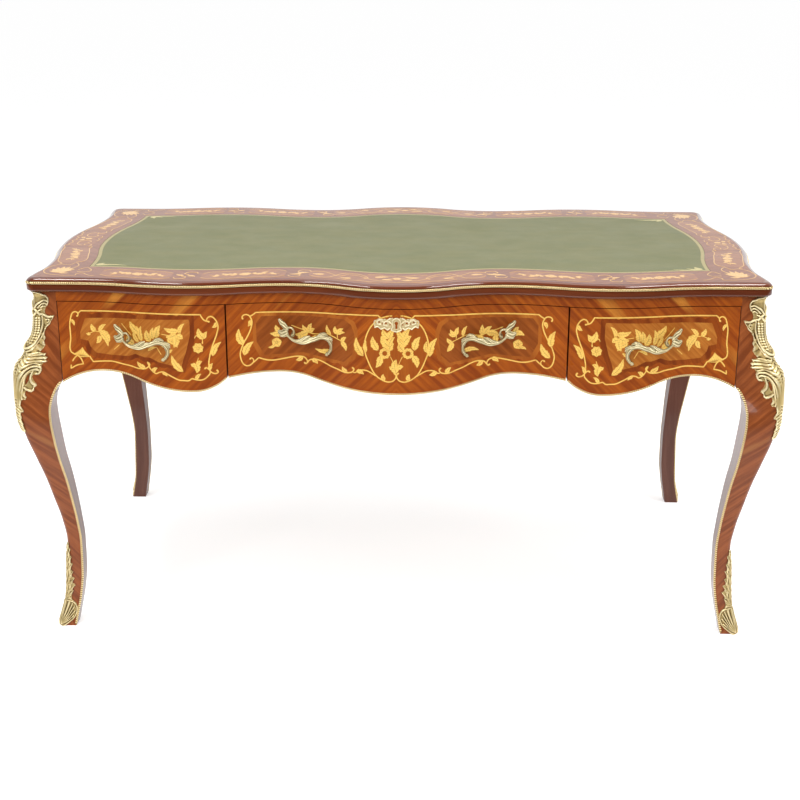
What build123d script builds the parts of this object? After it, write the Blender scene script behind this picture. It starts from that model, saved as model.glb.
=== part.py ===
from build123d import *
import os

# Serpentine writing table (bureau plat): three frieze drawers on four cabriole legs,
# with cast mounts on the corners and feet.  Millimetres.  X runs to the right, Y to the
# back and Z up.  The origin lies on the floor under the middle of the top.

os.makedirs("parts", exist_ok=True)

# ---------------------------------------------------------------- driving dimensions
overall_height = 772
top_half_width = 741  # middle to the corner of the top, along X
top_half_depth = 402  # middle to the corner of the top, along Y
top_thickness = 30
top_corner_radius = 16
top_edge_bevel = 7
top_under_bevel = 6
top_overhang = 16  # corner of the top beyond the corner of the frieze

# Swell of the long sides beyond the line of the corners, at stations from the middle
# that are shares of the half width.
belly_swell = 46
waist_share, waist_swell = 0.29, -3
bow_share, bow_swell = 0.5735, 26
shoulder_share = 0.8637
# Swell of the short sides.
flank_swell = 19
flank_waist_y, flank_waist_swell = 280, -9

# Writing surface.
leather_half_width = 637
leather_half_depth = 292
leather_flank_swell = 30
leather_thickness = 1.6

# Bead laid round the edge of the top.
bead_below_top = 8
bead_height = 5
bead_thickness = 2.2

# Frieze.
post_width = 41  # face of a leg between the corner and the drawers
front_thickness = 24  # drawer front at its end, measured from the corner line
top_rail_height = 20
division_x = 342  # middle of a partition
partition_thickness = 18
rail_depth = 31  # of the top and lower rails behind the drawer fronts
lower_rail_drop = 138  # from the top of the frieze to the top of the lower rail
lower_rail_height = 14
front_gap = 1.5  # between a drawer front and what frames it
seat_gap = 0.5  # between a closed drawer front and the rails behind it
slide_gap = 1.0  # between a drawer side and its guide
flank_thickness = 24
back_board_thickness = 16

# Lower edge of the aprons: shares of the way along, with drops below the top of the
# frieze.  Each starts at its crest.  The outer apron's shares run from post to partition,
# the others' from the middle to their end.
post_drop = 191
division_drop = 174
outer_crest = (0.265, 165)
outer_fall = [(0.48, 180), (0.66, 198), (0.80, 202)]
center_crest = (0.70, 165)
center_fall = [(0.50, 176.5), (0.27, 193.5), (0, 198)]
flank_crest = (0.58, 167)
flank_fall = [(0.28, 180), (0, 192)]
strip_height = 4
strip_thickness = 1.8

# Drawer boxes.
box_length = 560
box_height = 101
side_thickness = 12
bottom_thickness = 6
bottom_rise = 8  # of the bottom above the lower edge of the sides
groove_depth = 5
tail_count = 3
tail_length = 12
tail_flare = 4

# Runners and kickers.
bearer_width = 14
guide_thickness = 12
guide_height = 46
kicker_gap = 1.5

# Lock of the centre drawer.
lock_width = 60
lock_height = 48
lock_thickness = 12
bolt_width = 18
bolt_thickness = 6
bolt_length = 26
bolt_travel = 7
bolt_clearance = 0.4
bolt_play = 0.5  # between the withdrawn bolt and the top of the drawer
keyhole_drop = 49
keyhole_radius = 3
keyhole_length = 11
keyhole_sides = 8
escutcheon_thickness = 3

# Pulls, placed by the middle of their curl.
outer_pull_x, outer_pull_drop, outer_pull_swell = 541, 86, 17
center_pull_x, center_pull_drop, center_pull_swell = 213, 76, 2
pull_thickness = 7
stud_radius = 4
stud_sides = 6
stud_depth = 10  # in the drawer front

# ---------------------------------------------------------------- derived places
waist_x = waist_share * top_half_width
bow_x = bow_share * top_half_width
shoulder_x = shoulder_share * top_half_width
frieze_top = overall_height - top_thickness
frieze_half_width = top_half_width - top_overhang
frieze_half_depth = top_half_depth - top_overhang
post_inner_x = frieze_half_width - post_width
post_inner_y = frieze_half_depth - post_width
front_back_y = frieze_half_depth - front_thickness  # flat back of the drawer fronts
rail_inner_y = front_back_y - rail_depth
flank_inner_x = frieze_half_width - flank_thickness
drawer_top = frieze_top - top_rail_height - front_gap
lower_rail_top = frieze_top - lower_rail_drop
lower_rail_bottom = lower_rail_top - lower_rail_height
box_bottom = lower_rail_top + slide_gap
box_top = box_bottom + box_height
panel_z = box_bottom + bottom_rise
reach = 2 * top_half_width  # longer than any cut has to be


# ---------------------------------------------------------------- shared outlines
def wave(stations, place, level):
    """Tangent arcs through (along, out) stations, parallel to level at each of them."""
    for (along, out), (next_along, next_out) in zip(stations, stations[1:]):
        start, end = place(along, out), place(next_along, next_out)
        if out == next_out:
            Line(start, end)
        else:
            half_way = place((along + next_along) / 2, (out + next_out) / 2)
            TangentArc(start, half_way, tangent=level)
            back = [-part for part in level]
            TangentArc(half_way, end, tangent=back, tangent_from_first=False)


def falling(crest, places):
    """Tangent arcs that leave a level crest and run on through the places."""
    start = crest
    heading = (1, 0) if places[0][0] > crest[0] else (-1, 0)
    for end in places:
        arc = TangentArc(start, end, tangent=heading)
        heading = arc % 1
        start = end


def both_ways(half):
    """Stations from one end to the other, from those between the middle and an end."""
    return [(-along, out) for along, out in reversed(half[1:])] + half


def long_edge(half_length, offset, side=-1, shoulder=True):
    """Serpentine line along X at y = side * offset, drawn from -half_length to half_length."""
    half = [(0, belly_swell), (waist_x, waist_swell), (bow_x, bow_swell)]
    if shoulder:
        half.append((shoulder_x, 0))
    half.append((half_length, 0))
    wave(both_ways(half), lambda x, out: (x, side * (offset + out)), (1, 0))


def short_edge(half_length, offset, swell, waist, side=1):
    """Serpentine line along Y at x = side * offset, drawn from -half_length to half_length."""
    half = [(0, swell), (half_length, 0)]
    if waist:
        half.insert(1, (flank_waist_y, waist))
    wave(both_ways(half), lambda y, out: (side * (offset + out), y), (0, 1))


def top_outline(grow=0):
    """Draws the outline of the top with rounded corners, moved outwards by grow."""
    half_width = top_half_width + grow
    half_depth = top_half_depth + grow
    end_x = half_width - top_corner_radius
    end_y = half_depth - top_corner_radius
    for side in (-1, 1):
        long_edge(end_x, half_depth, side)
        short_edge(end_y, half_width, flank_swell, flank_waist_swell, side)
    for right, back, start_angle in ((1, 1, 0), (-1, 1, 90), (-1, -1, 180), (1, -1, 270)):
        CenterArc((right * end_x, back * end_y), top_corner_radius, start_angle, 90)


def leather_outline(grow=0):
    """Draws the outline of the writing surface, which meets in plain corners."""
    half_width, half_depth = leather_half_width + grow, leather_half_depth + grow
    for side in (-1, 1):
        long_edge(half_width, half_depth, side, shoulder=False)
        short_edge(half_depth, half_width, leather_flank_swell, 0, side)


def slab(draw_outline, bottom, height, grow=0, mode=Mode.ADD):
    """Level plate on a closed outline."""
    with BuildSketch(Plane.XY.offset(bottom)) as plan:
        with BuildLine():
            draw_outline(grow)
        make_face()
    extrude(plan.sketch, amount=height, mode=mode)


def moulded_slab(draw_outline, moulding):
    """Plate whose edge steps through (height, grow) pairs, from its bottom to its top."""
    sections = []
    for height, grow in moulding:
        with BuildSketch(Plane.XY.offset(height)) as section:
            with BuildLine():
                draw_outline(grow)
            make_face()
        sections.append(section.sketch)
    loft(sections, ruled=True)


def block(x, y, z, mode=Mode.ADD):
    """Box between the pairs of faces x, y and z."""
    with Locations(((x[0] + x[1]) / 2, (y[0] + y[1]) / 2, (z[0] + z[1]) / 2)):
        Box(x[1] - x[0], y[1] - y[0], z[1] - z[0], mode=mode)


def outer_edge(lift):
    """Draws the lower edge of the left apron, raised by lift, and returns its ends."""
    first, last = -post_inner_x + front_gap, -division_x - front_gap

    def place(share, drop):
        return first + share * (last - first), frieze_top - drop + lift

    post_end, division_end = place(0, post_drop), place(1, division_drop)
    falling(place(*outer_crest), [post_end])
    falling(place(*outer_crest), [place(*point) for point in outer_fall] + [division_end])
    return post_end, division_end


def even_edge(half_length, end_drop, crest, fall, lift):
    """Draws a lower edge that is alike to both sides of its middle, and returns its ends."""
    ends = []
    for side in (-1, 1):

        def place(share, drop):
            return side * share * half_length, frieze_top - drop + lift

        ends.append(place(1, end_drop))
        falling(place(*crest), ends[-1:])
        falling(place(*crest), [place(*point) for point in fall])
    return ends


def center_edge(lift):
    """Draws the lower edge of the centre apron."""
    return even_edge(division_x - front_gap, division_drop, center_crest, center_fall, lift)


def flank_edge(lift):
    """Draws the lower edge between the front and back legs."""
    return even_edge(post_inner_y, post_drop, flank_crest, flank_fall, lift)


def keep_elevation(plane, draw_edge, head=None):
    """Cuts the part down to the field from an apron's edge up to a level, or to a strip."""
    with BuildSketch(plane) as field:
        with BuildLine():
            left, right = draw_edge(0)
            if head is None:
                upper_left, upper_right = draw_edge(strip_height)
            else:
                upper_left, upper_right = (left[0], head), (right[0], head)
                Line(upper_left, upper_right)
            Line(left, upper_left)
            Line(right, upper_right)
        make_face()
    extrude(field.sketch, amount=reach, both=True, mode=Mode.INTERSECT)


def mirrored(piece, *planes):
    """Copy of a finished piece, mirrored in each plane in turn."""
    for plane in planes:
        piece = mirror(piece, about=plane, mode=Mode.PRIVATE)
    return piece


def finish(piece, name):
    """Labels a piece and writes it."""
    piece.label = name
    export_step(piece, f"parts/{name}.step")


# ---------------------------------------------------------------- top
leather_bottom = overall_height - leather_thickness
bead_bottom = overall_height - bead_below_top - bead_height

with BuildPart() as leather:
    slab(leather_outline, leather_bottom, leather_thickness)
finish(leather.part, "leather_writing_surface")

with BuildPart() as top_edge_bead:
    slab(top_outline, bead_bottom, bead_height, grow=bead_thickness)
    slab(top_outline, bead_bottom, bead_height, mode=Mode.SUBTRACT)
finish(top_edge_bead.part, "top_edge_bead")

top_moulding = [
    (frieze_top, -top_under_bevel),
    (frieze_top + top_under_bevel, 0),
    (overall_height - top_edge_bevel, 0),
    (overall_height, -top_edge_bevel),
]
with BuildPart() as top_panel:
    moulded_slab(top_outline, top_moulding)
    add(leather.part, mode=Mode.SUBTRACT)
finish(top_panel.part, "top_panel")

# ---------------------------------------------------------------- cabriole legs
# Stations of the front left leg.  Each holds a height and, inwards from the corner of
# the frieze, the places of the outer corner, of the inner edge of a show face and of
# that face's surface at the inner edge.
post_stations = [
    (frieze_top, 0, post_width, 0),
    (frieze_top - 38, -3, post_width, 0),
    (frieze_top - 78, -6.5, post_width, 0),
    (frieze_top - 117, -18, post_width, 0),
    (frieze_top - 158, -35, post_width, 0),
    (frieze_top - 186, -42, post_width, 0),
]
knee_stations = [
    (frieze_top - 197, -44, 33, -6),
    (frieze_top - 209, -45, 27, -13),
    (frieze_top - 222, -45, 23, -21),
    (frieze_top - 240, -45, 21, -31),
    (frieze_top - 264, -42, 22, -36),
    (frieze_top - 300, -35, 25, -33),
    (frieze_top - 350, -22, 30, -22),
    (frieze_top - 400, -9, 37.5, -9),
]
shin_stations = [
    (290, 2, 43.5, 2),
    (240, 12, 48, 12),
    (190, 17.5, 51, 17.5),
    (120, 15, 50, 15),
    (70, 11.5, 44.5, 11.5),
    (30, 4, 37, 4),
    (0, -3, 31, -3),
]
corner_round = 11


def corner_line(outer, radius):
    """Eased outer corner, from the left show face to the front one."""
    middle = outer + radius * (1 - 0.5**0.5)
    return [(outer, outer + radius), (middle, middle), (outer + radius, outer)]


def level_section(height, points):
    """Level outline through points measured inwards from the front left of the frieze."""
    with BuildSketch(Plane.XY.offset(height)) as section:
        with BuildLine():
            places = [(-frieze_half_width + u, -frieze_half_depth + v) for u, v in points]
            Polyline(*places, close=True)
        make_face()
    return section.sketch


def leg_section(height, outer, inner, face):
    """Section of the front left leg."""
    corner = corner_line(outer, corner_round)
    return level_section(height, [*corner, (inner, face), (inner, inner), (face, inner)])


with BuildPart() as leg:
    leg_stations = post_stations + knee_stations + shin_stations
    loft([leg_section(*station) for station in leg_stations], ruled=True)

# ---------------------------------------------------------------- corner and foot mounts
# Castings of even thickness that lie over the outer corner of a leg.  Each row holds a
# height and the place of the lobed leaf edge, inwards from the corner of the frieze.
mount_rows = [
    (frieze_top, 28),
    (frieze_top - 38, 20),
    (frieze_top - 56, 35),
    (frieze_top - 78, 19),
    (frieze_top - 117, 11),
    (frieze_top - 132, 21),
    (frieze_top - 158, 3),
    (frieze_top - 186, 2),
    (frieze_top - 197, -14),
    (frieze_top - 209, -17),
    (frieze_top - 222, -26),
    (frieze_top - 240, -29),
    (frieze_top - 264, -29),
    (frieze_top - 290, -24),
]
sabot_rows = [(205, 30), (190, 36), (150, 31), (120, 40), (94, 31), (70, 41), (30, 32), (0, 12)]
mount_thickness = 5
sabot_thickness = 3.5
mount_bed = 0.2  # between a casting and the wood under it
pierce_place = (-13, 171)
pierce_length, pierce_width = 16, 6


def leg_station(height):
    """Outer corner, inner edge and surface of the leg at a height between its stations."""
    for above, below in zip(leg_stations, leg_stations[1:]):
        if below[0] <= height < above[0]:
            share = (above[0] - height) / (above[0] - below[0])
            return [a + share * (b - a) for a, b in zip(above[1:], below[1:])]
    return leg_stations[0][1:]


def mount_section(height, edge, thickness):
    """Angle-shaped section of a casting over the outer corner of the front left leg."""
    outer, inner, face = leg_station(height)
    share = (edge - outer - corner_round) / (inner - outer - corner_round)
    seat = outer + share * (face - outer)
    outline = []
    for out in (mount_bed + thickness, mount_bed):
        side = [(seat - out, edge), *corner_line(outer - out, corner_round), (edge, seat - out)]
        outline += side if out > mount_bed else reversed(side)
    return level_section(height, outline)


with BuildPart() as corner_mount:
    loft([mount_section(*row, mount_thickness) for row in mount_rows], ruled=True)
    with BuildSketch(Plane.XZ.offset(frieze_half_depth)):
        with Locations((-frieze_half_width + pierce_place[0], frieze_top - pierce_place[1])):
            Rectangle(pierce_width, pierce_length)
    extrude(amount=2 * post_width, mode=Mode.SUBTRACT)

with BuildPart() as sabot:
    loft([mount_section(*row, sabot_thickness) for row in sabot_rows], ruled=True)

to_right, to_back = Plane.YZ, Plane.XZ
corners = {
    "front_left": (),
    "front_right": (to_right,),
    "back_left": (to_back,),
    "back_right": (to_right, to_back),
}
for corner, planes in corners.items():
    finish(mirrored(leg.part, *planes), f"{corner}_leg")
for casting, name in ((corner_mount.part, "corner_mounts"), (sabot.part, "sabots")):
    with BuildPart() as castings:
        for planes in corners.values():
            add(mirrored(casting, *planes))
    finish(castings.part, name)

# ---------------------------------------------------------------- frieze blanks
apron_bottom = frieze_top - max(drop for _, drop in outer_fall) - strip_height


def front_plan(plate=0):
    """Plan behind the serpentine face of the front, or of a plate laid on that face."""
    with BuildSketch(Plane.XY.offset(apron_bottom)) as plan:
        with BuildLine():
            long_edge(post_inner_x, frieze_half_depth + plate)
            if plate:
                long_edge(post_inner_x, frieze_half_depth)
                back_y = -frieze_half_depth
            else:
                back_y = -front_back_y
                Line((-post_inner_x, back_y), (post_inner_x, back_y))
            for x in (-post_inner_x, post_inner_x):
                Line((x, -frieze_half_depth - plate), (x, back_y))
        make_face()
    extrude(plan.sketch, amount=frieze_top - apron_bottom)


with BuildPart() as front_blank:
    front_plan()

with BuildPart() as strip_blank:
    front_plan(strip_thickness)

# ---------------------------------------------------------------- pulls
# A pull is an asymmetrical scroll: a pierced curl with two leaves beyond it, and a bar
# that sinks, rises to a crest and turns down into a hook.  Places are (right, up) from
# the middle of the curl.
curl_radius, curl_eye, curl_sides = 9.5, 4, 8
pull_lower = [(-3, -8), (14, -20), (34, -20), (52, -13), (64, -15)]
pull_hook = [(64, -15), (79, -27), (72, -44)]
pull_tail = [(72, -44), (80, -50)]
pull_crest = [(80, -50), (88, -27), (74, -9)]
pull_upper = [(74, -9), (54, -4), (36, -11), (20, -12), (6, -3)]
pull_leaves = [
    [(5, 6), (-8, 21), (-24, 24), (-18, 10), (-7, -1)],
    [(-6, 5), (-17, 5), (-27, 1), (-17, -11), (2, -8)],
]
curl_stud = (5, -6)
hook_stud = (79, -27)
pull_bow = [(-28, 9), (8, 25), (52, 25), (89, 9)]  # (right, outwards)


def pull(middle_x, middle_z, seat_y):
    """Scroll pull bowed outwards from its two studs, inside a builder."""
    face = Plane((middle_x, seat_y, middle_z), x_dir=(1, 0, 0), z_dir=(0, -1, 0))
    with BuildSketch(face) as scroll:
        with BuildLine():
            Polyline(pull_lower)
            ThreePointArc(*pull_hook)
            Line(pull_tail)
            ThreePointArc(*pull_crest)
            Polyline(pull_upper)
            Line(pull_upper[-1], pull_lower[0])
        make_face()
        RegularPolygon(curl_radius, curl_sides)
        for leaf in pull_leaves:
            with BuildLine():
                Polyline(leaf, close=True)
            make_face()
        RegularPolygon(curl_eye, curl_sides, mode=Mode.SUBTRACT)
    rise = max(out for _, out in pull_bow)
    extrude(scroll.sketch, amount=2 * rise)
    below = Plane((middle_x, seat_y, middle_z - reach / 2))
    with BuildSketch(below) as bow:
        with BuildLine():
            outside = [(x, -out) for x, out in pull_bow]
            inside = [(x, pull_thickness - out) for x, out in reversed(pull_bow)]
            Polyline(*outside, *inside, close=True)
        make_face()
    extrude(bow.sketch, amount=reach, mode=Mode.INTERSECT)
    for place, height in ((curl_stud, rise - pull_thickness), (hook_stud, pull_bow[-1][1])):
        with BuildSketch(face.offset(-stud_depth)) as stud:
            with Locations(place):
                RegularPolygon(stud_radius, stud_sides)
        extrude(stud.sketch, amount=stud_depth + height)


outer_pull_z = frieze_top - outer_pull_drop
center_pull_z = frieze_top - center_pull_drop
with BuildPart() as left_pull:
    pull(-outer_pull_x, outer_pull_z, -frieze_half_depth - outer_pull_swell)
with BuildPart() as center_left_pull:
    pull(-center_pull_x, center_pull_z, -frieze_half_depth - center_pull_swell)
right_pull = mirrored(left_pull.part, to_right)
center_right_pull = mirrored(center_left_pull.part, to_right)
finish(left_pull.part, "left_drawer_pull")
finish(center_left_pull.part, "center_drawer_left_pull")
finish(right_pull, "right_drawer_pull")
finish(center_right_pull, "center_drawer_right_pull")

with BuildPart() as back_pulls:
    for piece in (left_pull.part, center_left_pull.part, right_pull, center_right_pull):
        add(mirrored(piece, to_back))
finish(back_pulls.part, "back_pulls")

# ---------------------------------------------------------------- edge strips and fronts
with BuildPart() as left_strip:
    add(strip_blank.part)
    keep_elevation(Plane.XZ, outer_edge)
with BuildPart() as center_strip:
    add(strip_blank.part)
    keep_elevation(Plane.XZ, center_edge)
finish(left_strip.part, "left_drawer_edge_strip")
finish(center_strip.part, "center_drawer_edge_strip")
finish(mirrored(left_strip.part, to_right), "right_drawer_edge_strip")

with BuildPart() as left_front_blank:
    add(front_blank.part)
    keep_elevation(Plane.XZ, outer_edge, drawer_top)
    add(left_pull.part, mode=Mode.SUBTRACT)
with BuildPart() as center_front_blank:
    add(front_blank.part)
    keep_elevation(Plane.XZ, center_edge, drawer_top)
    add(center_left_pull.part, mode=Mode.SUBTRACT)
    add(center_right_pull, mode=Mode.SUBTRACT)

finish(mirrored(left_front_blank.part, to_back), "back_left_dummy_front")
finish(mirrored(left_front_blank.part, to_right, to_back), "back_right_dummy_front")
finish(mirrored(center_front_blank.part, to_back), "back_center_dummy_front")

# ---------------------------------------------------------------- flanks
with BuildPart() as flank_strip:
    with BuildSketch(Plane.XY.offset(apron_bottom)):
        with BuildLine():
            for grow in (strip_thickness, 0):
                offset = frieze_half_width + grow
                short_edge(post_inner_y, offset, flank_swell, flank_waist_swell)
            for y in (-post_inner_y, post_inner_y):
                Line((frieze_half_width, y), (frieze_half_width + strip_thickness, y))
        make_face()
    extrude(amount=frieze_top - apron_bottom)
    keep_elevation(Plane.YZ, flank_edge)

with BuildPart() as flank:
    with BuildSketch(Plane.XY.offset(apron_bottom)):
        with BuildLine():
            short_edge(post_inner_y, frieze_half_width, flank_swell, flank_waist_swell)
            behind = [(flank_inner_x, -post_inner_y), (flank_inner_x, post_inner_y)]
            start = (frieze_half_width, -post_inner_y)
            Polyline(start, *behind, (frieze_half_width, post_inner_y))
        make_face()
    extrude(amount=frieze_top - apron_bottom)
    keep_elevation(Plane.YZ, flank_edge, frieze_top)
finish(flank.part, "right_flank")
finish(mirrored(flank.part, to_right), "left_flank")

with BuildPart() as carcass_strips:
    add(flank_strip.part)
    add(mirrored(flank_strip.part, to_right))
    add(mirrored(left_strip.part, to_back))
    add(mirrored(left_strip.part, to_right, to_back))
    add(mirrored(center_strip.part, to_back))
finish(carcass_strips.part, "carcass_edge_strips")

# ---------------------------------------------------------------- rails
rail_bottom = frieze_top - top_rail_height
between_posts = (-post_inner_x, post_inner_x)
with BuildPart() as top_rail:
    add(front_blank.part)
    block((-reach, reach), (-reach, reach), (rail_bottom, frieze_top), Mode.INTERSECT)
    block(between_posts, (-front_back_y, -rail_inner_y), (rail_bottom, frieze_top))
finish(mirrored(top_rail.part, to_back), "back_top_rail")

bolt_y = -front_back_y - lock_thickness / 2
bolt_half_width = bolt_width / 2 + bolt_clearance
bolt_half_thickness = bolt_thickness / 2 + bolt_clearance
bolt_slot_x = (-bolt_half_width, bolt_half_width)
bolt_slot_y = (bolt_y - bolt_half_thickness, bolt_y + bolt_half_thickness)
bolt_top = drawer_top - bolt_play
bolt_mortise_top = bolt_top + bolt_travel + 2 * bolt_play
with BuildPart() as front_top_rail:
    add(top_rail.part)
    block(bolt_slot_x, bolt_slot_y, (rail_bottom, bolt_mortise_top), Mode.SUBTRACT)
finish(front_top_rail.part, "front_top_rail")

with BuildPart() as lower_rail:
    rail_y = (-front_back_y + seat_gap, -rail_inner_y)
    block(between_posts, rail_y, (lower_rail_bottom, lower_rail_top))
finish(lower_rail.part, "front_lower_rail")
finish(mirrored(lower_rail.part, to_back), "back_lower_rail")

board_inner_y = front_back_y - back_board_thickness
with BuildPart() as back_board:
    block(between_posts, (board_inner_y, front_back_y), (lower_rail_top, rail_bottom))
finish(back_board.part, "back_board")

# ---------------------------------------------------------------- partitions and runners
partition_outer_x = division_x + partition_thickness / 2
partition_inner_x = division_x - partition_thickness / 2
with BuildPart() as partition:
    partition_y = (-front_back_y + seat_gap, board_inner_y)
    block((-partition_outer_x, -partition_inner_x), partition_y, (lower_rail_bottom, frieze_top))
    for rail in (top_rail.part, lower_rail.part):
        add(rail, mode=Mode.SUBTRACT)
        add(mirrored(rail, to_back), mode=Mode.SUBTRACT)
finish(partition.part, "left_partition")
finish(mirrored(partition.part, to_right), "right_partition")

between_rails = (-rail_inner_y, rail_inner_y)
bearer_z = (lower_rail_bottom, lower_rail_top)
guide_face_x = post_inner_x - guide_thickness
outer_bearer_x = (-flank_inner_x, -guide_face_x + bearer_width)
left_bearer_x = (-partition_outer_x - bearer_width, -partition_outer_x)
center_bearer_x = (-partition_inner_x, -partition_inner_x + bearer_width)
with BuildPart() as left_runners:
    block(outer_bearer_x, between_rails, bearer_z)
    guide_z = (lower_rail_top, lower_rail_top + guide_height)
    block((-flank_inner_x, -guide_face_x), between_rails, guide_z)
    block(left_bearer_x, between_rails, bearer_z)
finish(left_runners.part, "left_drawer_runners")
finish(mirrored(left_runners.part, to_right), "right_drawer_runners")

with BuildPart() as center_runners:
    block(center_bearer_x, between_rails, bearer_z)
    mirror(about=to_right)
finish(center_runners.part, "center_drawer_runners")

with BuildPart() as kickers:
    for span in (outer_bearer_x, left_bearer_x, center_bearer_x):
        block(span, between_rails, (box_top + kicker_gap, frieze_top))
    mirror(about=to_right)
finish(kickers.part, "drawer_kickers")

# ---------------------------------------------------------------- drawers
box_back_y = -front_back_y + box_length


def box_side(outer_x, inner_x):
    """Drawer side between two planes, with dovetails that lap into the front."""
    with BuildSketch(Plane.YZ.offset(min(outer_x, inner_x))) as profile:
        with Locations((-front_back_y + box_length / 2, (box_bottom + box_top) / 2)):
            Rectangle(box_length, box_height)
        pitch = box_height / tail_count
        for number in range(tail_count):
            middle = box_bottom + (number + 0.5) * pitch
            root = pitch / 4
            tip = root + tail_flare / 2
            tail_y = -front_back_y - tail_length
            with BuildLine():
                outline = [(-front_back_y, middle - root), (tail_y, middle - tip)]
                outline += [(tail_y, middle + tip), (-front_back_y, middle + root)]
                Polyline(*outline, close=True)
            make_face()
    extrude(profile.sketch, amount=side_thickness)


def drawer(name, left_x, right_x, front, fittings=()):
    """Makes and writes a drawer: front, two sides, back and a bottom in grooves."""
    inner_left_x = left_x + side_thickness
    inner_right_x = right_x - side_thickness
    bottom_z = (panel_z, panel_z + bottom_thickness)
    with BuildPart() as bottom:
        bottom_x = (inner_left_x - groove_depth, inner_right_x + groove_depth)
        block(bottom_x, (-front_back_y - groove_depth, box_back_y), bottom_z)
    with BuildPart() as left_side:
        box_side(left_x, inner_left_x)
        add(bottom.part, mode=Mode.SUBTRACT)
    with BuildPart() as right_side:
        box_side(right_x, inner_right_x)
        add(bottom.part, mode=Mode.SUBTRACT)
    with BuildPart() as back:
        back_y = (box_back_y - side_thickness, box_back_y)
        block((inner_left_x, inner_right_x), back_y, (bottom_z[1], box_top))
    with BuildPart() as fitted_front:
        add(front)
        for piece in (bottom.part, left_side.part, right_side.part, *fittings):
            add(piece, mode=Mode.SUBTRACT)
    finish(fitted_front.part, f"{name}_drawer_front")
    finish(left_side.part, f"{name}_drawer_left_side")
    finish(right_side.part, f"{name}_drawer_right_side")
    finish(back.part, f"{name}_drawer_back")
    finish(bottom.part, f"{name}_drawer_bottom")


left_box_x = (-guide_face_x + slide_gap, -partition_outer_x - slide_gap)
drawer("left", *left_box_x, left_front_blank.part)
drawer("right", -left_box_x[1], -left_box_x[0], mirrored(left_front_blank.part, to_right))

# ---------------------------------------------------------------- lock of the centre drawer
keyhole_z = frieze_top - keyhole_drop
escutcheon_line = [(0, 9), (8, 13), (17, 6), (33, 10), (45, 1), (35, -7), (22, -8), (11, -17), (0, -19)]

with BuildPart() as keyhole:
    with BuildSketch(Plane.XZ.offset(front_back_y + bolt_thickness)):
        with Locations((0, keyhole_z)):
            RegularPolygon(keyhole_radius, keyhole_sides)
        with Locations((0, keyhole_z - keyhole_length / 2)):
            Rectangle(keyhole_radius, keyhole_length)
    extrude(amount=reach)

with BuildPart() as lock_bolt:
    bolt_z = (bolt_top - bolt_length, bolt_top)
    bolt_x = (-bolt_width / 2, bolt_width / 2)
    block(bolt_x, (bolt_y - bolt_thickness / 2, bolt_y + bolt_thickness / 2), bolt_z)
finish(lock_bolt.part, "lock_bolt")

with BuildPart() as lock_case:
    lock_x = (-lock_width / 2, lock_width / 2)
    lock_y = (-front_back_y - lock_thickness, -front_back_y)
    block(lock_x, lock_y, (drawer_top - lock_height, drawer_top))
    slot_bottom = bolt_z[0] - bolt_clearance
    block(bolt_slot_x, bolt_slot_y, (slot_bottom, drawer_top), Mode.SUBTRACT)
    add(keyhole.part, mode=Mode.SUBTRACT)
finish(lock_case.part, "lock_case")

with BuildPart() as escutcheon:
    front_plan(escutcheon_thickness)
    with BuildSketch(Plane.XZ):
        with BuildLine():
            Polyline([(right, keyhole_z + up) for right, up in escutcheon_line])
            mirror(about=Plane.YZ)
        make_face()
    extrude(amount=reach, both=True, mode=Mode.INTERSECT)
    add(keyhole.part, mode=Mode.SUBTRACT)
finish(escutcheon.part, "escutcheon")

with BuildPart() as lock_recess:
    block(lock_x, lock_y, (drawer_top - lock_height, drawer_top))
center_box_x = partition_inner_x - slide_gap
fittings = (keyhole.part, lock_recess.part)
drawer("center", -center_box_x, center_box_x, center_front_blank.part, fittings)
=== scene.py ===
"""Serpentine writing desk in kingwood and marquetry, with a green leather top and gilt mounts."""

import math

import bpy
import numpy as np
from mathutils import Matrix, Vector


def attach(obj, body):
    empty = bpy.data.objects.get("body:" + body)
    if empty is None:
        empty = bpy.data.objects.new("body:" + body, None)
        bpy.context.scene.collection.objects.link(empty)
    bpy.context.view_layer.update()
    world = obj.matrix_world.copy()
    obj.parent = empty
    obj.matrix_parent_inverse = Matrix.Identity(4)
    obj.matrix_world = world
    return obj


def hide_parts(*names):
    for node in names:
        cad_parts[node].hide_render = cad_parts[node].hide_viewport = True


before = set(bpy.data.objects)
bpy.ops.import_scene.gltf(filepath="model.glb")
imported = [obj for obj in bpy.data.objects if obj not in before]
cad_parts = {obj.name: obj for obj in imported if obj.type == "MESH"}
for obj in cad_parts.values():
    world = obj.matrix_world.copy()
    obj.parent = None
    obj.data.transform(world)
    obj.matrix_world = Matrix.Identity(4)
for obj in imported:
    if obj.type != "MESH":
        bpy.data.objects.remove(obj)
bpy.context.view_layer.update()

# ------------------------------------------------------------------ sizes, millimetres
MM = 0.001
TOP_Z, FRIEZE_Z, DRAWER_Z, RAIL_Z = 771.7, 742, 720.5, 722
TOP_X, TOP_Y, TOP_ROUND = 741, 402, 16
LEATHER_X, LEATHER_Y, LEATHER_DEEP = 637, 292, 1.6
TOP_FLAT = 12  # width of the round moulding outside the flat of the top
BEAD_Z, BEAD_HALF = 761.5, 2.5
FRIEZE_X, FRIEZE_Y = 725, 386
POST_X, POST_Y, DIVISION_X = 684, 345, 342
GAP = 1.5
CORNER_ROUND = 11
SKIN = 0.6  # thickness of the show veneer
STRIP = 4  # height of the brass strip under an apron
KEYHOLE_Z, KEYHOLE_R, KEYHOLE_LONG = 693, 3, 11

BARE = -9.0  # height of a relief where there is no metal


def path(text):
    """Points, or rows of values, from text such as "3,4 5,6"."""
    return [tuple(float(value) for value in point.split(",")) for point in text.split()]


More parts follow.
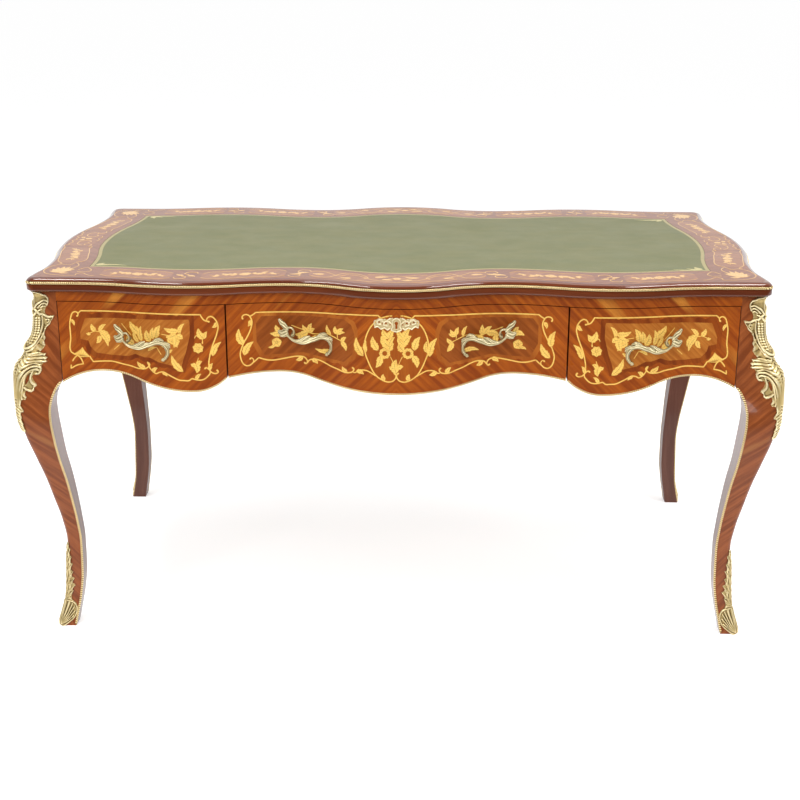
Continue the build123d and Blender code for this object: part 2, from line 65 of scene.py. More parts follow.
# Serpentine lines: places from the middle, each with its swell.
LONG_SIDE = ((0, 46), (215, -3), (425, 26), (640, 0), (2000, 0))
TOP_END = ((0, 19), (280, -9), (386, 0), (2000, 0))
FLANK = ((0, 19), (280, -9), (345, 0), (2000, 0))
LEATHER_LONG = ((0, 46), (215, -3), (425, 26), (637, 0), (2000, 0))
LEATHER_END = ((0, 30), (292, 0), (2000, 0))

# Front left leg: height, then inwards from the frieze corner the outer corner, the inner
# edge of a show face and the surface there.
LEG = path("""742,0,41,0 704,-3,41,0 664,-6.5,41,0 625,-18,41,0 584,-35,41,0 556,-42,41,0
    545,-44,33,-6 533,-45,27,-13 520,-45,23,-21 502,-45,21,-31 478,-42,22,-36 442,-35,25,-33
    392,-22,30,-22 342,-9,37.5,-9 290,2,43.5,2 240,12,48,12 190,17.5,51,17.5 120,15,50,15
    70,11.5,44.5,11.5 30,4,37,4 0,-3,31,-3""")


# ------------------------------------------------------------------ lines and surfaces
def swell(stations, along):
    """How far a serpentine side stands out at each place along it."""
    along = np.abs(np.asarray(along, float))
    result = np.full(along.shape, float(stations[-1][1]))
    for (start, low), (end, high) in zip(stations, stations[1:]):
        rise = high - low
        radius = ((end - start) ** 2 + rise**2) / max(4 * abs(rise), 1e-9)
        near = np.clip(np.minimum(along - start, end - along), 0, None)
        sag = math.copysign(1, rise) * near**2 / (radius + np.sqrt(np.abs(radius**2 - near**2)))
        value = np.where(along - start <= end - along, low + sag, high - sag)
        result = np.where((along >= start) & (along <= end), value, result)
    return result


def turned(x, y, z, quarters):
    """Points turned by quarter turns about the upright axis, in metres."""
    c, s = (1, 0, -1, 0)[quarters], (0, 1, 0, -1)[quarters]
    return MM * np.stack([c * x - s * y, s * x + c * y, z], -1)


def spread(*values):
    return np.broadcast_arrays(*(np.asarray(value, float) for value in values))


def wall(stations, offset, quarters):
    """Upright serpentine face: u runs along it, v up, and out away from it."""

    def place(u, v, out=0.0):
        u, v, out = spread(u, v, out)
        slope = swell(stations, u + 0.5) - swell(stations, u - 0.5)
        long = np.sqrt(1 + slope**2)
        x = u - slope / long * out
        y = -(offset + swell(stations, u)) - out / long
        return turned(x, y, v, quarters)

    return place


def border(inner_line, inner, outer_line, outer, quarters):
    """Band of the top along one side: u runs along it and v inwards from the edge."""

    def place(u, v, out=0.0):
        u, v, out = spread(u, v, out)
        edge = outer + swell(outer_line, u)
        field = inner + swell(inner_line, u)
        return turned(u, -(edge - v / (outer - inner) * (edge - field)), TOP_Z + out, quarters)

    return place


FRONT = wall(LONG_SIDE, FRIEZE_Y, 0)
RIGHT = wall(FLANK, FRIEZE_X, 1)
TOP_FRONT = border(LEATHER_LONG, LEATHER_Y, LONG_SIDE, TOP_Y, 0)
TOP_RIGHT = border(LEATHER_END, LEATHER_X, TOP_END, TOP_X, 1)


def even_curve(knots, at):
    """Smooth values at heights, through rising knots of (height, value), with no overshoot."""
    knots = np.asarray(knots, float)
    z, value = knots[:, 0], knots[:, 1]
    grade = np.diff(value) / np.diff(z)
    tangent = np.zeros(len(z))
    same = grade[:-1] * grade[1:] > 0
    tangent[1:-1][same] = 2 / (1 / grade[:-1][same] + 1 / grade[1:][same])
    tangent[0], tangent[-1] = grade[0], grade[-1]
    at = np.clip(at, z[0], z[-1])
    low = np.clip(np.searchsorted(z, at) - 1, 0, len(z) - 2)
    step = z[low + 1] - z[low]
    t = (at - z[low]) / step
    ease = t * t * (3 - 2 * t)
    bend = step * (t * (1 - t) ** 2 * tangent[low] - t**2 * (1 - t) * tangent[low + 1])
    return value[low] * (1 - ease) + value[low + 1] * ease + bend


def leg_at(z):
    """Outer corner, inner edge and inner surface of a leg at heights."""
    rising = sorted(LEG)
    return [even_curve([(row[0], row[i]) for row in rising], z) for i in (1, 2, 3)]


QUARTER_ARC = CORNER_ROUND * math.pi / 4


def show_width(z):
    """Distance over a show face from the middle of the eased corner to the inner edge."""
    outer, inner, _ = leg_at(z)
    return QUARTER_ARC + inner - outer - CORNER_ROUND


def corner_place(across, z, out=0.0):
    """Over the outer corner of the front left leg; across is negative on the side face."""
    across, z, out = spread(across, z, out)
    outer, inner, face = leg_at(z)
    reach = np.abs(across)
    angle = math.pi / 4 - np.minimum(reach / CORNER_ROUND, math.pi / 4)
    run = np.maximum(reach - QUARTER_ARC, 0)
    tilt = run / (inner - outer - CORNER_ROUND) * (face - outer)
    a = outer + CORNER_ROUND + run - np.sin(angle) * (CORNER_ROUND + out)
    b = outer + CORNER_ROUND + tilt - np.cos(angle) * (CORNER_ROUND + out)
    a, b = np.where(across < 0, b, a), np.where(across < 0, a, b)
    return MM * np.stack([a - FRIEZE_X, b - FRIEZE_Y, z], -1)


def smooth_line(points, step=2.0):
    """Even points on a smooth line through the given ones; a repeated point is a corner."""
    runs, run = [], [points[0]]
    for point in points[1:]:
        if tuple(point) == tuple(run[-1]):
            runs.append(run)
            run = [point]
        else:
            run.append(point)
    runs.append(run)
    line = []
    for run in runs:
        p = np.asarray(run, float)
        ends = np.vstack([2 * p[0] - p[1], p, 2 * p[-1] - p[-2]])
        for a, b, c, d in zip(ends, ends[1:], ends[2:], ends[3:]):
            count = max(2, int(np.linalg.norm(c - b) / step))
            t = np.linspace(0, 1, count, endpoint=False)[:, None]
            square, cube = 2 * a - 5 * b + 4 * c - d, 3 * b - a - 3 * c + d
            line.append(0.5 * (2 * b + (c - a) * t + square * t**2 + cube * t**3))
    return np.vstack([*line, [points[-1]]])


def tangent_arcs(crest, places):
    """Points on arcs that leave a level crest and run on smoothly through the places."""
    here = np.array(crest, float)
    heading = 0.0 if places[0][0] > crest[0] else math.pi
    line = [here]
    for place in places:
        chord = np.array(place, float) - here
        bend = (math.atan2(chord[1], chord[0]) - heading + math.pi) % (2 * math.pi) - math.pi
        count = max(3, int(np.linalg.norm(chord) / 3.0))
        for share in np.arange(1, count + 1) / count:
            length = np.linalg.norm(chord) * math.sin(bend * share) / math.sin(bend)
            course = heading + bend * share
            line.append(here + length * np.array([math.cos(course), math.sin(course)]))
        heading += 2 * bend
        here = np.array(place, float)
    return np.array(line)


def falling_edge(start, end, crest, fall, end_drop):
    """Lower edge of an apron from its end to its far end, by shares of its length."""

    def place(share, drop):
        return start + share * (end - start), FRIEZE_Z - drop

    return tangent_arcs(place(*crest), [place(*end_drop)]), [place(*p) for p in fall], place(*crest)


def outer_apron():
    """Lower edge of the left drawer front, from the leg to the division."""
    fall = ((0.48, 180), (0.66, 198), (0.80, 202), (1, 174))
    near, fall, crest = falling_edge(-POST_X + GAP, -DIVISION_X - GAP, (0.265, 165), fall, (0, 191))
    return np.vstack([near[::-1], tangent_arcs(crest, fall)[1:]])


def even_apron(half, crest, fall, end_drop):
    """Lower edge of an apron that is alike to both sides of its middle."""
    near, fall, crest = falling_edge(0, -half, crest, fall, (1, end_drop))
    left = np.vstack([near[::-1], tangent_arcs(crest, fall)[1:]])
    right = left[::-1][1:] * (-1, 1)
    return np.vstack([left, right])


OUTER_APRON = outer_apron()
CENTER_APRON = even_apron(DIVISION_X - GAP, (0.70, 165), ((0.50, 176.5), (0.27, 193.5), (0, 198)), 174)
FLANK_APRON = even_apron(POST_Y, (0.58, 167), ((0.28, 180), (0, 192)), 191)


# ------------------------------------------------------------------ making pieces
def only(piece):
    """Selects one piece and nothing else."""
    bpy.ops.object.select_all(action="DESELECT")
    piece.select_set(True)
    bpy.context.view_layer.objects.active = piece


def in_edit(piece, *steps):
    """Runs mesh operators on the whole piece."""
    only(piece)
    bpy.ops.object.mode_set(mode="EDIT")
    bpy.ops.mesh.select_all(action="SELECT")
    for step in steps:
        step()
    bpy.ops.object.mode_set(mode="OBJECT")


def closed(piece):
    """Merges the seam, closes the open ends and turns all faces outwards."""
    in_edit(
        piece,
        lambda: bpy.ops.mesh.remove_doubles(threshold=1e-6),
        lambda: bpy.ops.mesh.fill_holes(sides=0),
        lambda: bpy.ops.mesh.select_all(action="SELECT"),
        lambda: bpy.ops.mesh.normals_make_consistent(inside=False),
    )
    return piece


def rounded(piece, degrees=35):
    only(piece)
    bpy.ops.object.shade_smooth_by_angle(angle=math.radians(degrees))
    return piece


def lay_pattern(piece, marks):
    """Gives each corner of a face the pattern place of its point."""
    layer = piece.data.uv_layers.active or piece.data.uv_layers.new(name="Pattern")
    index = np.zeros(len(piece.data.loops), int)
    piece.data.loops.foreach_get("vertex_index", index)
    layer.data.foreach_set("uv", np.asarray(marks, float)[index].ravel())


def laid_grid(name, columns, rows, place):
    """Grid laid at place(s, t), which gives points and pattern places for s and t of 0 to 1."""
    bpy.ops.object.select_all(action="DESELECT")
    bpy.ops.mesh.primitive_grid_add(x_subdivisions=columns, y_subdivisions=rows, size=1)
    piece = bpy.context.object
    piece.name = piece.data.name = name
    flat = np.zeros(len(piece.data.vertices) * 3)
    piece.data.vertices.foreach_get("co", flat)
    flat = flat.reshape(-1, 3)
    points, marks = place(flat[:, 0] + 0.5, flat[:, 1] + 0.5)
    piece.data.vertices.foreach_set("co", np.asarray(points, float).ravel())
    lay_pattern(piece, marks)
    piece.data.update()
    return piece


def sheet_piece(name, points, faces, marks):
    """Piece from cut shapes that no grid can hold."""
    mesh = bpy.data.meshes.new(name)
    mesh.from_pydata([tuple(p) for p in points], [], faces)
    piece = bpy.data.objects.new(name, mesh)
    bpy.context.scene.collection.objects.link(piece)
    lay_pattern(piece, marks)
    return piece


def thickened(piece, thickness):
    """Gives a sheet its thickness, behind its face."""
    only(piece)
    solid = piece.modifiers.new("thickness", "SOLIDIFY")
    solid.thickness, solid.offset = thickness * MM, -1
    bpy.ops.object.modifier_apply(modifier=solid.name)
    return piece


def joined(name, pieces):
    """One piece out of several."""
    bpy.ops.object.select_all(action="DESELECT")
    for piece in pieces:
        piece.select_set(True)
    bpy.context.view_layer.objects.active = pieces[0]
    bpy.ops.object.join()
    pieces[0].name = pieces[0].data.name = name
    return pieces[0]


def echo(piece, name, flip_x=False, flip_y=False):
    """Mirrored copy with its own mesh."""
    copy = bpy.data.objects.new(name, piece.data.copy())
    bpy.context.scene.collection.objects.link(copy)
    copy.data.name = name
    copy.data.transform(Matrix.Diagonal((-1 if flip_x else 1, -1 if flip_y else 1, 1, 1)))
    if flip_x != flip_y:
        in_edit(copy, bpy.ops.mesh.flip_normals)
    return copy


def fit(piece, body, material, slot, *nodes):
    """Finishes a piece: what it moves with, its material and the parts it stands for."""
    if material is not None:
        piece.data.materials.clear()
        piece.data.materials.append(material)
    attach(piece, body)
    if nodes:
        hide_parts(*nodes)
    return piece


# ------------------------------------------------------------------ materials
def set_inputs(tree, made, inputs):
    """Sets or links inputs of a node; their names may have underlines for spaces."""
    for key, value in inputs.items():
        socket = made.inputs[key.replace("_", " ") if isinstance(key, str) else key]
        if isinstance(value, bpy.types.NodeSocket):
            tree.links.new(value, socket)
        else:
            socket.default_value = value


def node(tree, kind, inputs=None, **settings):
    """Shader node with its settings, and inputs that are values or other outputs."""
    made = tree.nodes.new("ShaderNode" + kind)
    for key, value in settings.items():
        setattr(made, key, value)
    set_inputs(tree, made, inputs or {})
    return made


def math_of(tree, operation, *values):
    return node(tree, "Math", dict(enumerate(values)), operation=operation).outputs[0]


def times(tree, first, second):
    return math_of(tree, "MULTIPLY", first, second)


def plus(tree, first, second):
    return math_of(tree, "ADD", first, second)


def minus(tree, first, second):
    return math_of(tree, "SUBTRACT", first, second)


def most(tree, first, second):
    return math_of(tree, "MAXIMUM", first, second)


def blend_of(tree, factor, first, second):
    return node(tree, "Mix", {0: factor, 6: first, 7: second}, data_type="RGBA").outputs[2]


def ramp_of(tree, value, low, high):
    """Value eased from 0 at low to 1 at high."""
    inputs = {"Value": value, "From Min": low, "From Max": high}
    return node(tree, "MapRange", inputs, interpolation_type="SMOOTHSTEP").outputs[0]


def scaled_noise(tree, place, scale, detail, rough):
    """Noise stretched by a scale for each axis."""
    moved = node(tree, "VectorMath", {0: place, 1: scale}, operation="MULTIPLY").outputs[0]
    inputs = {"Vector": moved, "Scale": 1.0, "Detail": detail, "Roughness": rough}
    return node(tree, "TexNoise", inputs).outputs[0]


def effect_group(name, inputs, outputs):
    """Shader group with named sockets; returns its tree, its inputs and what sets its outputs."""
    tree = bpy.data.node_groups.new(name, "ShaderNodeTree")
    for label, kind, value in inputs:
        socket = tree.interface.new_socket(label, in_out="INPUT", socket_type="NodeSocket" + kind)
        if value is not None:
            socket.default_value = value
    for label, kind in outputs:
        tree.interface.new_socket(label, in_out="OUTPUT", socket_type="NodeSocket" + kind)
    result = tree.nodes.new("NodeGroupOutput").inputs

    def give(*values):
        for (label, _), value in zip(outputs, values):
            tree.links.new(value, result[label])
        return tree

    return tree, tree.nodes.new("NodeGroupInput").outputs, give


def figured_wood():
    """Wood figure along X: bands, sap streaks, fine grain and pores."""
    colors = [(label, "Color", (0, 0, 0, 1)) for label in ("Dark", "Mid", "Sap")]
    tree, given, give = effect_group(
        "figured_wood",
        [("Place", "Vector", None), *colors, ("Bands", "Float", 60.0), ("Sap Share", "Float", 0.3)],
        [("Color", "Color"), ("Bump", "Float")],
    )
    place, bands = given["Place"], given["Bands"]
    wide = node(tree, "CombineXYZ", {0: times(tree, bands, 0.06), 1: bands, 2: bands})
    band = ramp_of(tree, scaled_noise(tree, place, wide.outputs[0], 4.0, 0.6), 0.36, 0.66)
    fine = scaled_noise(tree, place, (22, 620, 620), 4.0, 0.65)
    sap_noise = scaled_noise(tree, place, (2.5, 17, 17), 2.0, 0.4)
    cut = minus(tree, 0.72, times(tree, given["Sap Share"], 0.25))
    sap = ramp_of(tree, sap_noise, cut, plus(tree, cut, 0.07))
    pores = ramp_of(tree, scaled_noise(tree, place, (90, 2600, 2600), 2.0, 0.5), 0.60, 0.70)
    color = blend_of(tree, band, given["Dark"], given["Mid"])
    color = blend_of(tree, times(tree, sap, 0.8), color, given["Sap"])
    line = ramp_of(tree, fine, 0.38, 0.62)
    line_dark = times(tree, minus(tree, 1.0, line), 0.4)
    color = blend_of(tree, line_dark, color, given["Dark"])
    color = blend_of(tree, times(tree, pores, 0.35), color, (0.03, 0.006, 0.002, 1))
    cloud = ramp_of(tree, scaled_noise(tree, place, (5, 7, 7), 2.0, 0.5), 0.3, 0.7)
    color = blend_of(tree, times(tree, cloud, 0.22), color, given["Dark"])
    return give(color, minus(tree, fine, pores))


def handled_surface():
    """Rubbing that changes the gloss of a finish, with faint dents."""
    tree, given, give = effect_group(
        "handled_surface",
        [("Place", "Vector", None), ("Gloss", "Float", 0.3), ("Change", "Float", 0.12)],
        [("Roughness", "Float"), ("Dents", "Float")],
    )
    place = given["Place"]
    rub = scaled_noise(tree, place, (9, 9, 9), 5.0, 0.6)
    marks = scaled_noise(tree, place, (70, 70, 70), 3.0, 0.6)
    change = times(tree, minus(tree, rub, 0.5), given["Change"])
    return give(plus(tree, given["Gloss"], change), marks)


def aged_and_shaded_metal():
    """Gilding with painted highlights on its high places, and dark in its hollows, where patina and
    painted shade lie.
    """
    colors = [(label, "Color", (1, 1, 1, 1)) for label in ("Bright", "Body", "Hollow")]
    tree, given, give = effect_group(
        "aged_and_shaded_metal",
        [("Place", "Vector", None), ("High", "Float", 0.5), *colors],
        [("Color", "Color"), ("Roughness", "Float"), ("Bump", "Float")],
    )
    place = given["Place"]
    cloud = scaled_noise(tree, place, (45, 45, 45), 4.0, 0.6)
    cast = scaled_noise(tree, place, (900, 900, 900), 3.0, 0.6)
    level = plus(tree, given["High"], times(tree, minus(tree, cloud, 0.5), 0.35))
    # from the hollow colour up to the bright one with the height: patina and painted shade low down,
    # painted highlights high up
    color = blend_of(tree, ramp_of(tree, level, 0.10, 0.50), given["Hollow"], given["Body"])
    color = blend_of(tree, ramp_of(tree, level, 0.50, 0.90), color, given["Bright"])
    rough = plus(tree, 0.30, times(tree, minus(tree, 1.0, level), 0.25))
    return give(color, rough, cast)


EFFECTS = {"wood": figured_wood(), "handled": handled_surface(), "metal": aged_and_shaded_metal()}


def effect(tree, name, **inputs):
    """One of the shared effects, placed in a material with its own values."""
    made = tree.nodes.new("ShaderNodeGroup")
    made.node_tree = EFFECTS[name]
    set_inputs(tree, made, inputs)
    return made.outputs


def new_material(name):
    """Material with a Principled shader; returns it, its tree, the shader and the place source."""
    material = bpy.data.materials.new(name)
    material.use_nodes = True
    tree = material.node_tree
    shader = tree.nodes["Principled BSDF"]
    return material, tree, shader, tree.nodes.new("ShaderNodeTexCoord").outputs


def set_shader(tree, shader, **inputs):
    set_inputs(tree, shader, inputs)


def solid(color):
    return (*color, 1)


def bump_of(tree, height, strength, distance, normal=None):
    inputs = {"Height": height, "Strength": strength, "Distance": distance}
    if normal is not None:
        inputs["Normal"] = normal
    return node(tree, "Bump", inputs).outputs[0]


def wood(name, dark, mid, sap, angle=0, bands=60, sap_share=0.3, gloss=0.3, coat=0.36,
         sheen=0.15, place="UV"):
    """A wood, its grain at an angle to its pattern, or to the desk where its place is Object."""
    material, tree, shader, places = new_material(name)
    rotation = (0, 0, math.radians(angle))
    place = node(tree, "Mapping", {"Vector": places[place], "Rotation": rotation}).outputs[0]
    figure = effect(tree, "wood", Place=place, Dark=solid(dark), Mid=solid(mid), Sap=solid(sap),
                    Bands=bands, Sap_Share=sap_share)
    use = effect(tree, "handled", Place=places["Object"], Gloss=gloss, Change=0.16)
    normal = bump_of(tree, figure["Bump"], 0.12, 0.0003)
    normal = bump_of(tree, use["Dents"], 0.05, 0.0006, normal)
    set_shader(tree, shader, Base_Color=figure["Color"], Roughness=use["Roughness"], Normal=normal,
               Specular_IOR_Level=sheen, Coat_Weight=coat, Coat_Roughness=0.07, Coat_IOR=1.5)
    return material


def metal(name, bright, body, hollow, high=None, metallic=0.7):
    """Cast and gilded metal; its relief is read from the piece's attribute, or given."""
    material, tree, shader, places = new_material(name)
    if high is None:
        high = node(tree, "Attribute", attribute_name="relief").outputs["Fac"]
    # the shared effect paints highlights and shade into the colour from the relief
    age_and_shade = effect(tree, "metal", Place=places["Object"], High=high, Bright=solid(bright),
                 Body=solid(body), Hollow=solid(hollow))
    normal = bump_of(tree, age_and_shade["Bump"], 0.25, 0.0003)
    set_shader(tree, shader, Base_Color=age_and_shade["Color"], Metallic=metallic, Roughness=age_and_shade["Roughness"],
               Normal=normal)
    return material


def leather():
    """Dyed hide with a fine grain, paler where sleeves have rubbed it."""
    material, tree, shader, places = new_material("green_leather")
    place = places["Object"]
    cell = node(tree, "TexVoronoi", {"Vector": place, "Scale": 950.0}, feature="DISTANCE_TO_EDGE")
    grain = ramp_of(tree, cell.outputs["Distance"], 0.0, 0.35)
    mottle = scaled_noise(tree, place, (14, 22, 14), 6.0, 0.65)
    streak = scaled_noise(tree, place, (5, 60, 5), 3.0, 0.5)
    color = blend_of(tree, ramp_of(tree, mottle, 0.3, 0.7), (0.124, 0.129, 0.033, 1),
                     (0.158, 0.151, 0.044, 1))
    rubbed = times(tree, ramp_of(tree, streak, 0.45, 0.75), 0.2)
    color = blend_of(tree, rubbed, color, (0.205, 0.180, 0.075, 1))
    furrows = times(tree, minus(tree, 1.0, grain), 0.25)
    color = blend_of(tree, furrows, color, (0.06, 0.08, 0.035, 1))
    use = effect(tree, "handled", Place=place, Gloss=0.46, Change=0.2)
    normal = bump_of(tree, grain, 0.3, 0.0002)
    normal = bump_of(tree, mottle, 0.15, 0.0012, normal)
    set_shader(tree, shader, Base_Color=color, Roughness=use["Roughness"], Normal=normal,
               Specular_IOR_Level=0.5)
    return material


def tooling(name, leaf_color):
    """Gold leaf pressed into the leather: lines and a running leaf between them."""
    material, tree, shader, places = new_material(name)
    parts = node(tree, "SeparateXYZ", {0: places["UV"]}).outputs
    across, along = minus(tree, parts[0], 0.5), parts[1]
    wave = times(tree, math_of(tree, "SINE", times(tree, along, 520.0)), 0.17)
    vine = ramp_of(tree, math_of(tree, "ABSOLUTE", minus(tree, across, wave)), 0.16, 0.06)
    lines = ramp_of(tree, math_of(tree, "ABSOLUTE", across), 0.36, 0.42)
    worn = ramp_of(tree, scaled_noise(tree, places["Object"], (160, 160, 160), 3.0, 0.6), 0.30, 0.42)
    leaf = most(tree, 0.84, most(tree, vine, lines))
    gold = times(tree, leaf, plus(tree, 0.7, times(tree, worn, 0.3)))
    color = blend_of(tree, gold, (0.10, 0.09, 0.03, 1), solid(leaf_color))
    rough = minus(tree, 0.5, times(tree, gold, 0.22))
    set_shader(tree, shader, Base_Color=color, Roughness=rough, Metallic=times(tree, gold, 0.6),
               Normal=bump_of(tree, gold, 0.4, 0.0002))
    return material


def marquetry(name, pale, deep):
    """Boxwood with sand-scorched shading and engraved veins, drawn by its pattern."""
    material, tree, shader, places = new_material(name)
    parts = node(tree, "SeparateXYZ", {0: places["UV"]}).outputs
    middle = math_of(tree, "ABSOLUTE", minus(tree, parts[0], 0.5))
    vein = ramp_of(tree, middle, 0.06, 0.02)
    slant = minus(tree, times(tree, parts[1], 1500.0), times(tree, middle, 9.0))
    cuts = ramp_of(tree, math_of(tree, "SINE", slant), 0.72, 0.98)
    side = times(tree, cuts, ramp_of(tree, middle, 0.42, 0.25))
    engraved = most(tree, vein, times(tree, side, 0.7))
    scorch = ramp_of(tree, scaled_noise(tree, places["Object"], (110, 110, 110), 3.0, 0.6), 0.45, 0.75)
    edge = ramp_of(tree, middle, 0.30, 0.5)
    shade = times(tree, plus(tree, scorch, edge), 0.4)
    color = blend_of(tree, shade, solid(pale), solid(deep))
    color = blend_of(tree, times(tree, engraved, 0.6), color, (0.20, 0.06, 0.012, 1))
    grain = scaled_noise(tree, places["Object"], (300, 300, 900), 3.0, 0.6)
    use = effect(tree, "handled", Place=places["Object"], Gloss=0.3, Change=0.14)
    set_shader(tree, shader, Base_Color=color, Roughness=use["Roughness"], Specular_IOR_Level=0.15,
               Coat_Weight=0.5, Coat_Roughness=0.07, Normal=bump_of(tree, grain, 0.08, 0.0002))
    return material


def plain_rays(tree, seen):
    """1 for what is seen straight, through glass or in a reflection."""
    other = most(tree, seen["Is Glossy Ray"], seen["Is Transmission Ray"])
    return most(tree, seen["Is Camera Ray"], other)


def pale_floor():
    """White floor that takes the shadow of the desk and is dark in the reflections before it."""
    material, tree, shader, places = new_material("pale_floor")
    seen = node(tree, "LightPath").outputs
    along = node(tree, "SeparateXYZ", {0: places["Object"]}).outputs[1]
    near = times(tree, ramp_of(tree, along, -0.7, -1.8), seen["Is Glossy Ray"])
    color = blend_of(tree, near, (0.86, 0.86, 0.86, 1), (0.10, 0.09, 0.085, 1))
    set_shader(tree, shader, Base_Color=color, Roughness=0.9, Specular_IOR_Level=0.0)
    share = minus(tree, plain_rays(tree, seen), near)
    glow = node(tree, "Emission", {"Color": (1, 1, 1, 1), "Strength": times(tree, share, 0.52)})
    total = node(tree, "AddShader", {0: shader.outputs[0], 1: glow.outputs[0]})
    tree.links.new(total.outputs[0], tree.nodes["Material Output"].inputs["Surface"])
    return material


KINGWOOD = wood("kingwood", (0.24, 0.044, 0.004), (0.47, 0.112, 0.008), (0.72, 0.29, 0.04),
    angle=-45, bands=95, sap_share=0.33)
LEG_WOOD = wood("kingwood_leg", (0.19, 0.044, 0.010), (0.37, 0.102, 0.026), (0.56, 0.24, 0.07),
    angle=-45, bands=95, sap_share=0.25, coat=0.3)
FIELD_WOOD = wood("tulipwood_field", (0.36, 0.10, 0.012), (0.54, 0.20, 0.030), (0.64, 0.28, 0.05),
    angle=45, bands=130)
TOP_WOOD = wood("kingwood_border", (0.17, 0.050, 0.018), (0.26, 0.085, 0.030), (0.33, 0.13, 0.05),
    angle=-45, bands=80, coat=0.30)
TOP_PANEL = wood("border_panel", (0.23, 0.078, 0.026), (0.32, 0.118, 0.040), (0.39, 0.17, 0.06),
    angle=20, bands=60, coat=0.30)
TOP_EDGE = wood("polished_edge", (0.10, 0.020, 0.006), (0.165, 0.037, 0.010), (0.23, 0.062, 0.016),
    bands=40, gloss=0.14, coat=0.85)
INSIDE = ((0.13, 0.050, 0.034), (0.20, 0.082, 0.055), (0.27, 0.12, 0.08))
LEG_INSIDE = wood("polished_inside", *INSIDE,
    angle=90, bands=50, coat=0.65)
LEG_BEHIND = wood("dull_inside", *INSIDE,
    angle=90, bands=50, gloss=0.45, coat=0.3)
SURROUND = wood("burr_surround", (0.17, 0.030, 0.003), (0.32, 0.068, 0.006), (0.42, 0.12, 0.015),
    angle=70, bands=38)
CLOUDED = wood("clouded_ground", (0.30, 0.070, 0.008), (0.46, 0.135, 0.016), (0.56, 0.21, 0.03),
    angle=70, bands=38)
DEEP_FIELD = wood("deep_field", (0.22, 0.050, 0.006), (0.36, 0.094, 0.013), (0.47, 0.165, 0.028),
    angle=45, bands=110)
MEDALLION = wood("medallion_ground", (0.30, 0.064, 0.006), (0.42, 0.112, 0.010), (0.52, 0.18, 0.02),
    angle=90, bands=40)
PLAIN = ((0.24, 0.13, 0.055), (0.42, 0.26, 0.125), (0.50, 0.34, 0.18))
WOOD_X = wood("plain_wood_x", *PLAIN, gloss=0.5, coat=0.0, place="Object")
WOOD_Y = wood("plain_wood_y", *PLAIN, gloss=0.5, coat=0.0, place="Object", angle=90)
DARK_X = wood("polished_carcass", (0.10, 0.020, 0.007), (0.19, 0.045, 0.014), (0.27, 0.08, 0.026),
    gloss=0.6, coat=0.0, sheen=0.02, place="Object")
BOXWOOD = marquetry("boxwood_inlay", (0.93, 0.60, 0.14), (0.58, 0.27, 0.04))
TOP_BOXWOOD = marquetry("boxwood_border_inlay", (0.72, 0.42, 0.11), (0.46, 0.21, 0.05))
LEATHER = leather()
TOOLING = tooling("gilt_tooling", (0.44, 0.35, 0.11))
TOOLED_LEAF = tooling("gilt_corner_leaf", (0.66, 0.56, 0.22))
# Each metal gives the colour of its painted highlights, of its body, and of its hollows, where patina and
# painted shade lie; the lock and steel have no relief, so theirs only vary at random.
GILT = metal("gilt_mount", (1.0, 0.88, 0.54), (0.58, 0.43, 0.17), (0.10, 0.055, 0.012),
    metallic=0.6)
GILT_FOOT = metal("gilt_foot_mount", (0.84, 0.70, 0.40), (0.46, 0.34, 0.135), (0.09, 0.05, 0.012),
    metallic=0.6)
GILT_STRIP = metal("gilt_strip", (0.98, 0.80, 0.43), (0.68, 0.46, 0.16), (0.16, 0.08, 0.02),
    metallic=0.5)
PALE_METAL = metal("silver_gilt", (0.84, 0.74, 0.46), (0.42, 0.34, 0.155), (0.07, 0.045, 0.012),
    metallic=0.5)
PLATE_METAL = metal("pale_gilt_plate", (0.98, 0.88, 0.60), (0.68, 0.53, 0.27), (0.20, 0.13, 0.045),
    metallic=0.3)
LOCK_METAL = metal("lock_brass", (0.80, 0.58, 0.26), (0.62, 0.43, 0.17), (0.2, 0.12, 0.05),
    high=0.5)
STEEL = metal("steel", (0.60, 0.59, 0.57), (0.42, 0.41, 0.40), (0.12, 0.11, 0.10), high=0.5)


def set_relief(piece, values):
    """Stores how high each point stands, 0 to 1, from which the metal's colour paints highlights and
    shade.
    """
    layer = piece.data.attributes.new("relief", "FLOAT", "POINT")
    layer.data.foreach_set("value", np.clip(np.asarray(values, np.float32), 0, 1))


# ------------------------------------------------------------------ the top
LONG_POINTS, SHORT_POINTS, CORNER_POINTS = 260, 140, 10


def outline(half_x, half_y, long_line, short_line, radius, grow=0.0):
    """Closed outline of the top or the leather, with the same count of points each time."""
    x, y = half_x + grow, half_y + grow
    along = np.linspace(-(x - radius), x - radius, LONG_POINTS)
    side = np.linspace(-(y - radius), y - radius, SHORT_POINTS)
    parts = []
    for turn in range(4):
        run, line, half = (along, long_line, y) if turn % 2 == 0 else (side, short_line, x)
        straight = np.stack([run, -(half + swell(line, run))], -1)
        a, b = (x, y) if turn % 2 == 0 else (y, x)
        angle = np.radians(np.linspace(-90, 0, CORNER_POINTS + 2)[1:-1])
        bend = radius * np.stack([np.cos(angle), np.sin(angle)], -1)
        corner = (a - radius, radius - b) + bend
        c, s = (1, 0, -1, 0)[turn], (0, 1, 0, -1)[turn]
        both = np.vstack([straight, corner])
        parts.append(np.stack([c * both[:, 0] - s * both[:, 1], s * both[:, 0] + c * both[:, 1]], -1))
    return np.vstack(parts)


def stacked(loops, heights):
    """Closed outlines, each at its height."""
    return np.stack([np.column_stack([loop, np.full(len(loop), z)]) for loop, z in zip(loops, heights)])


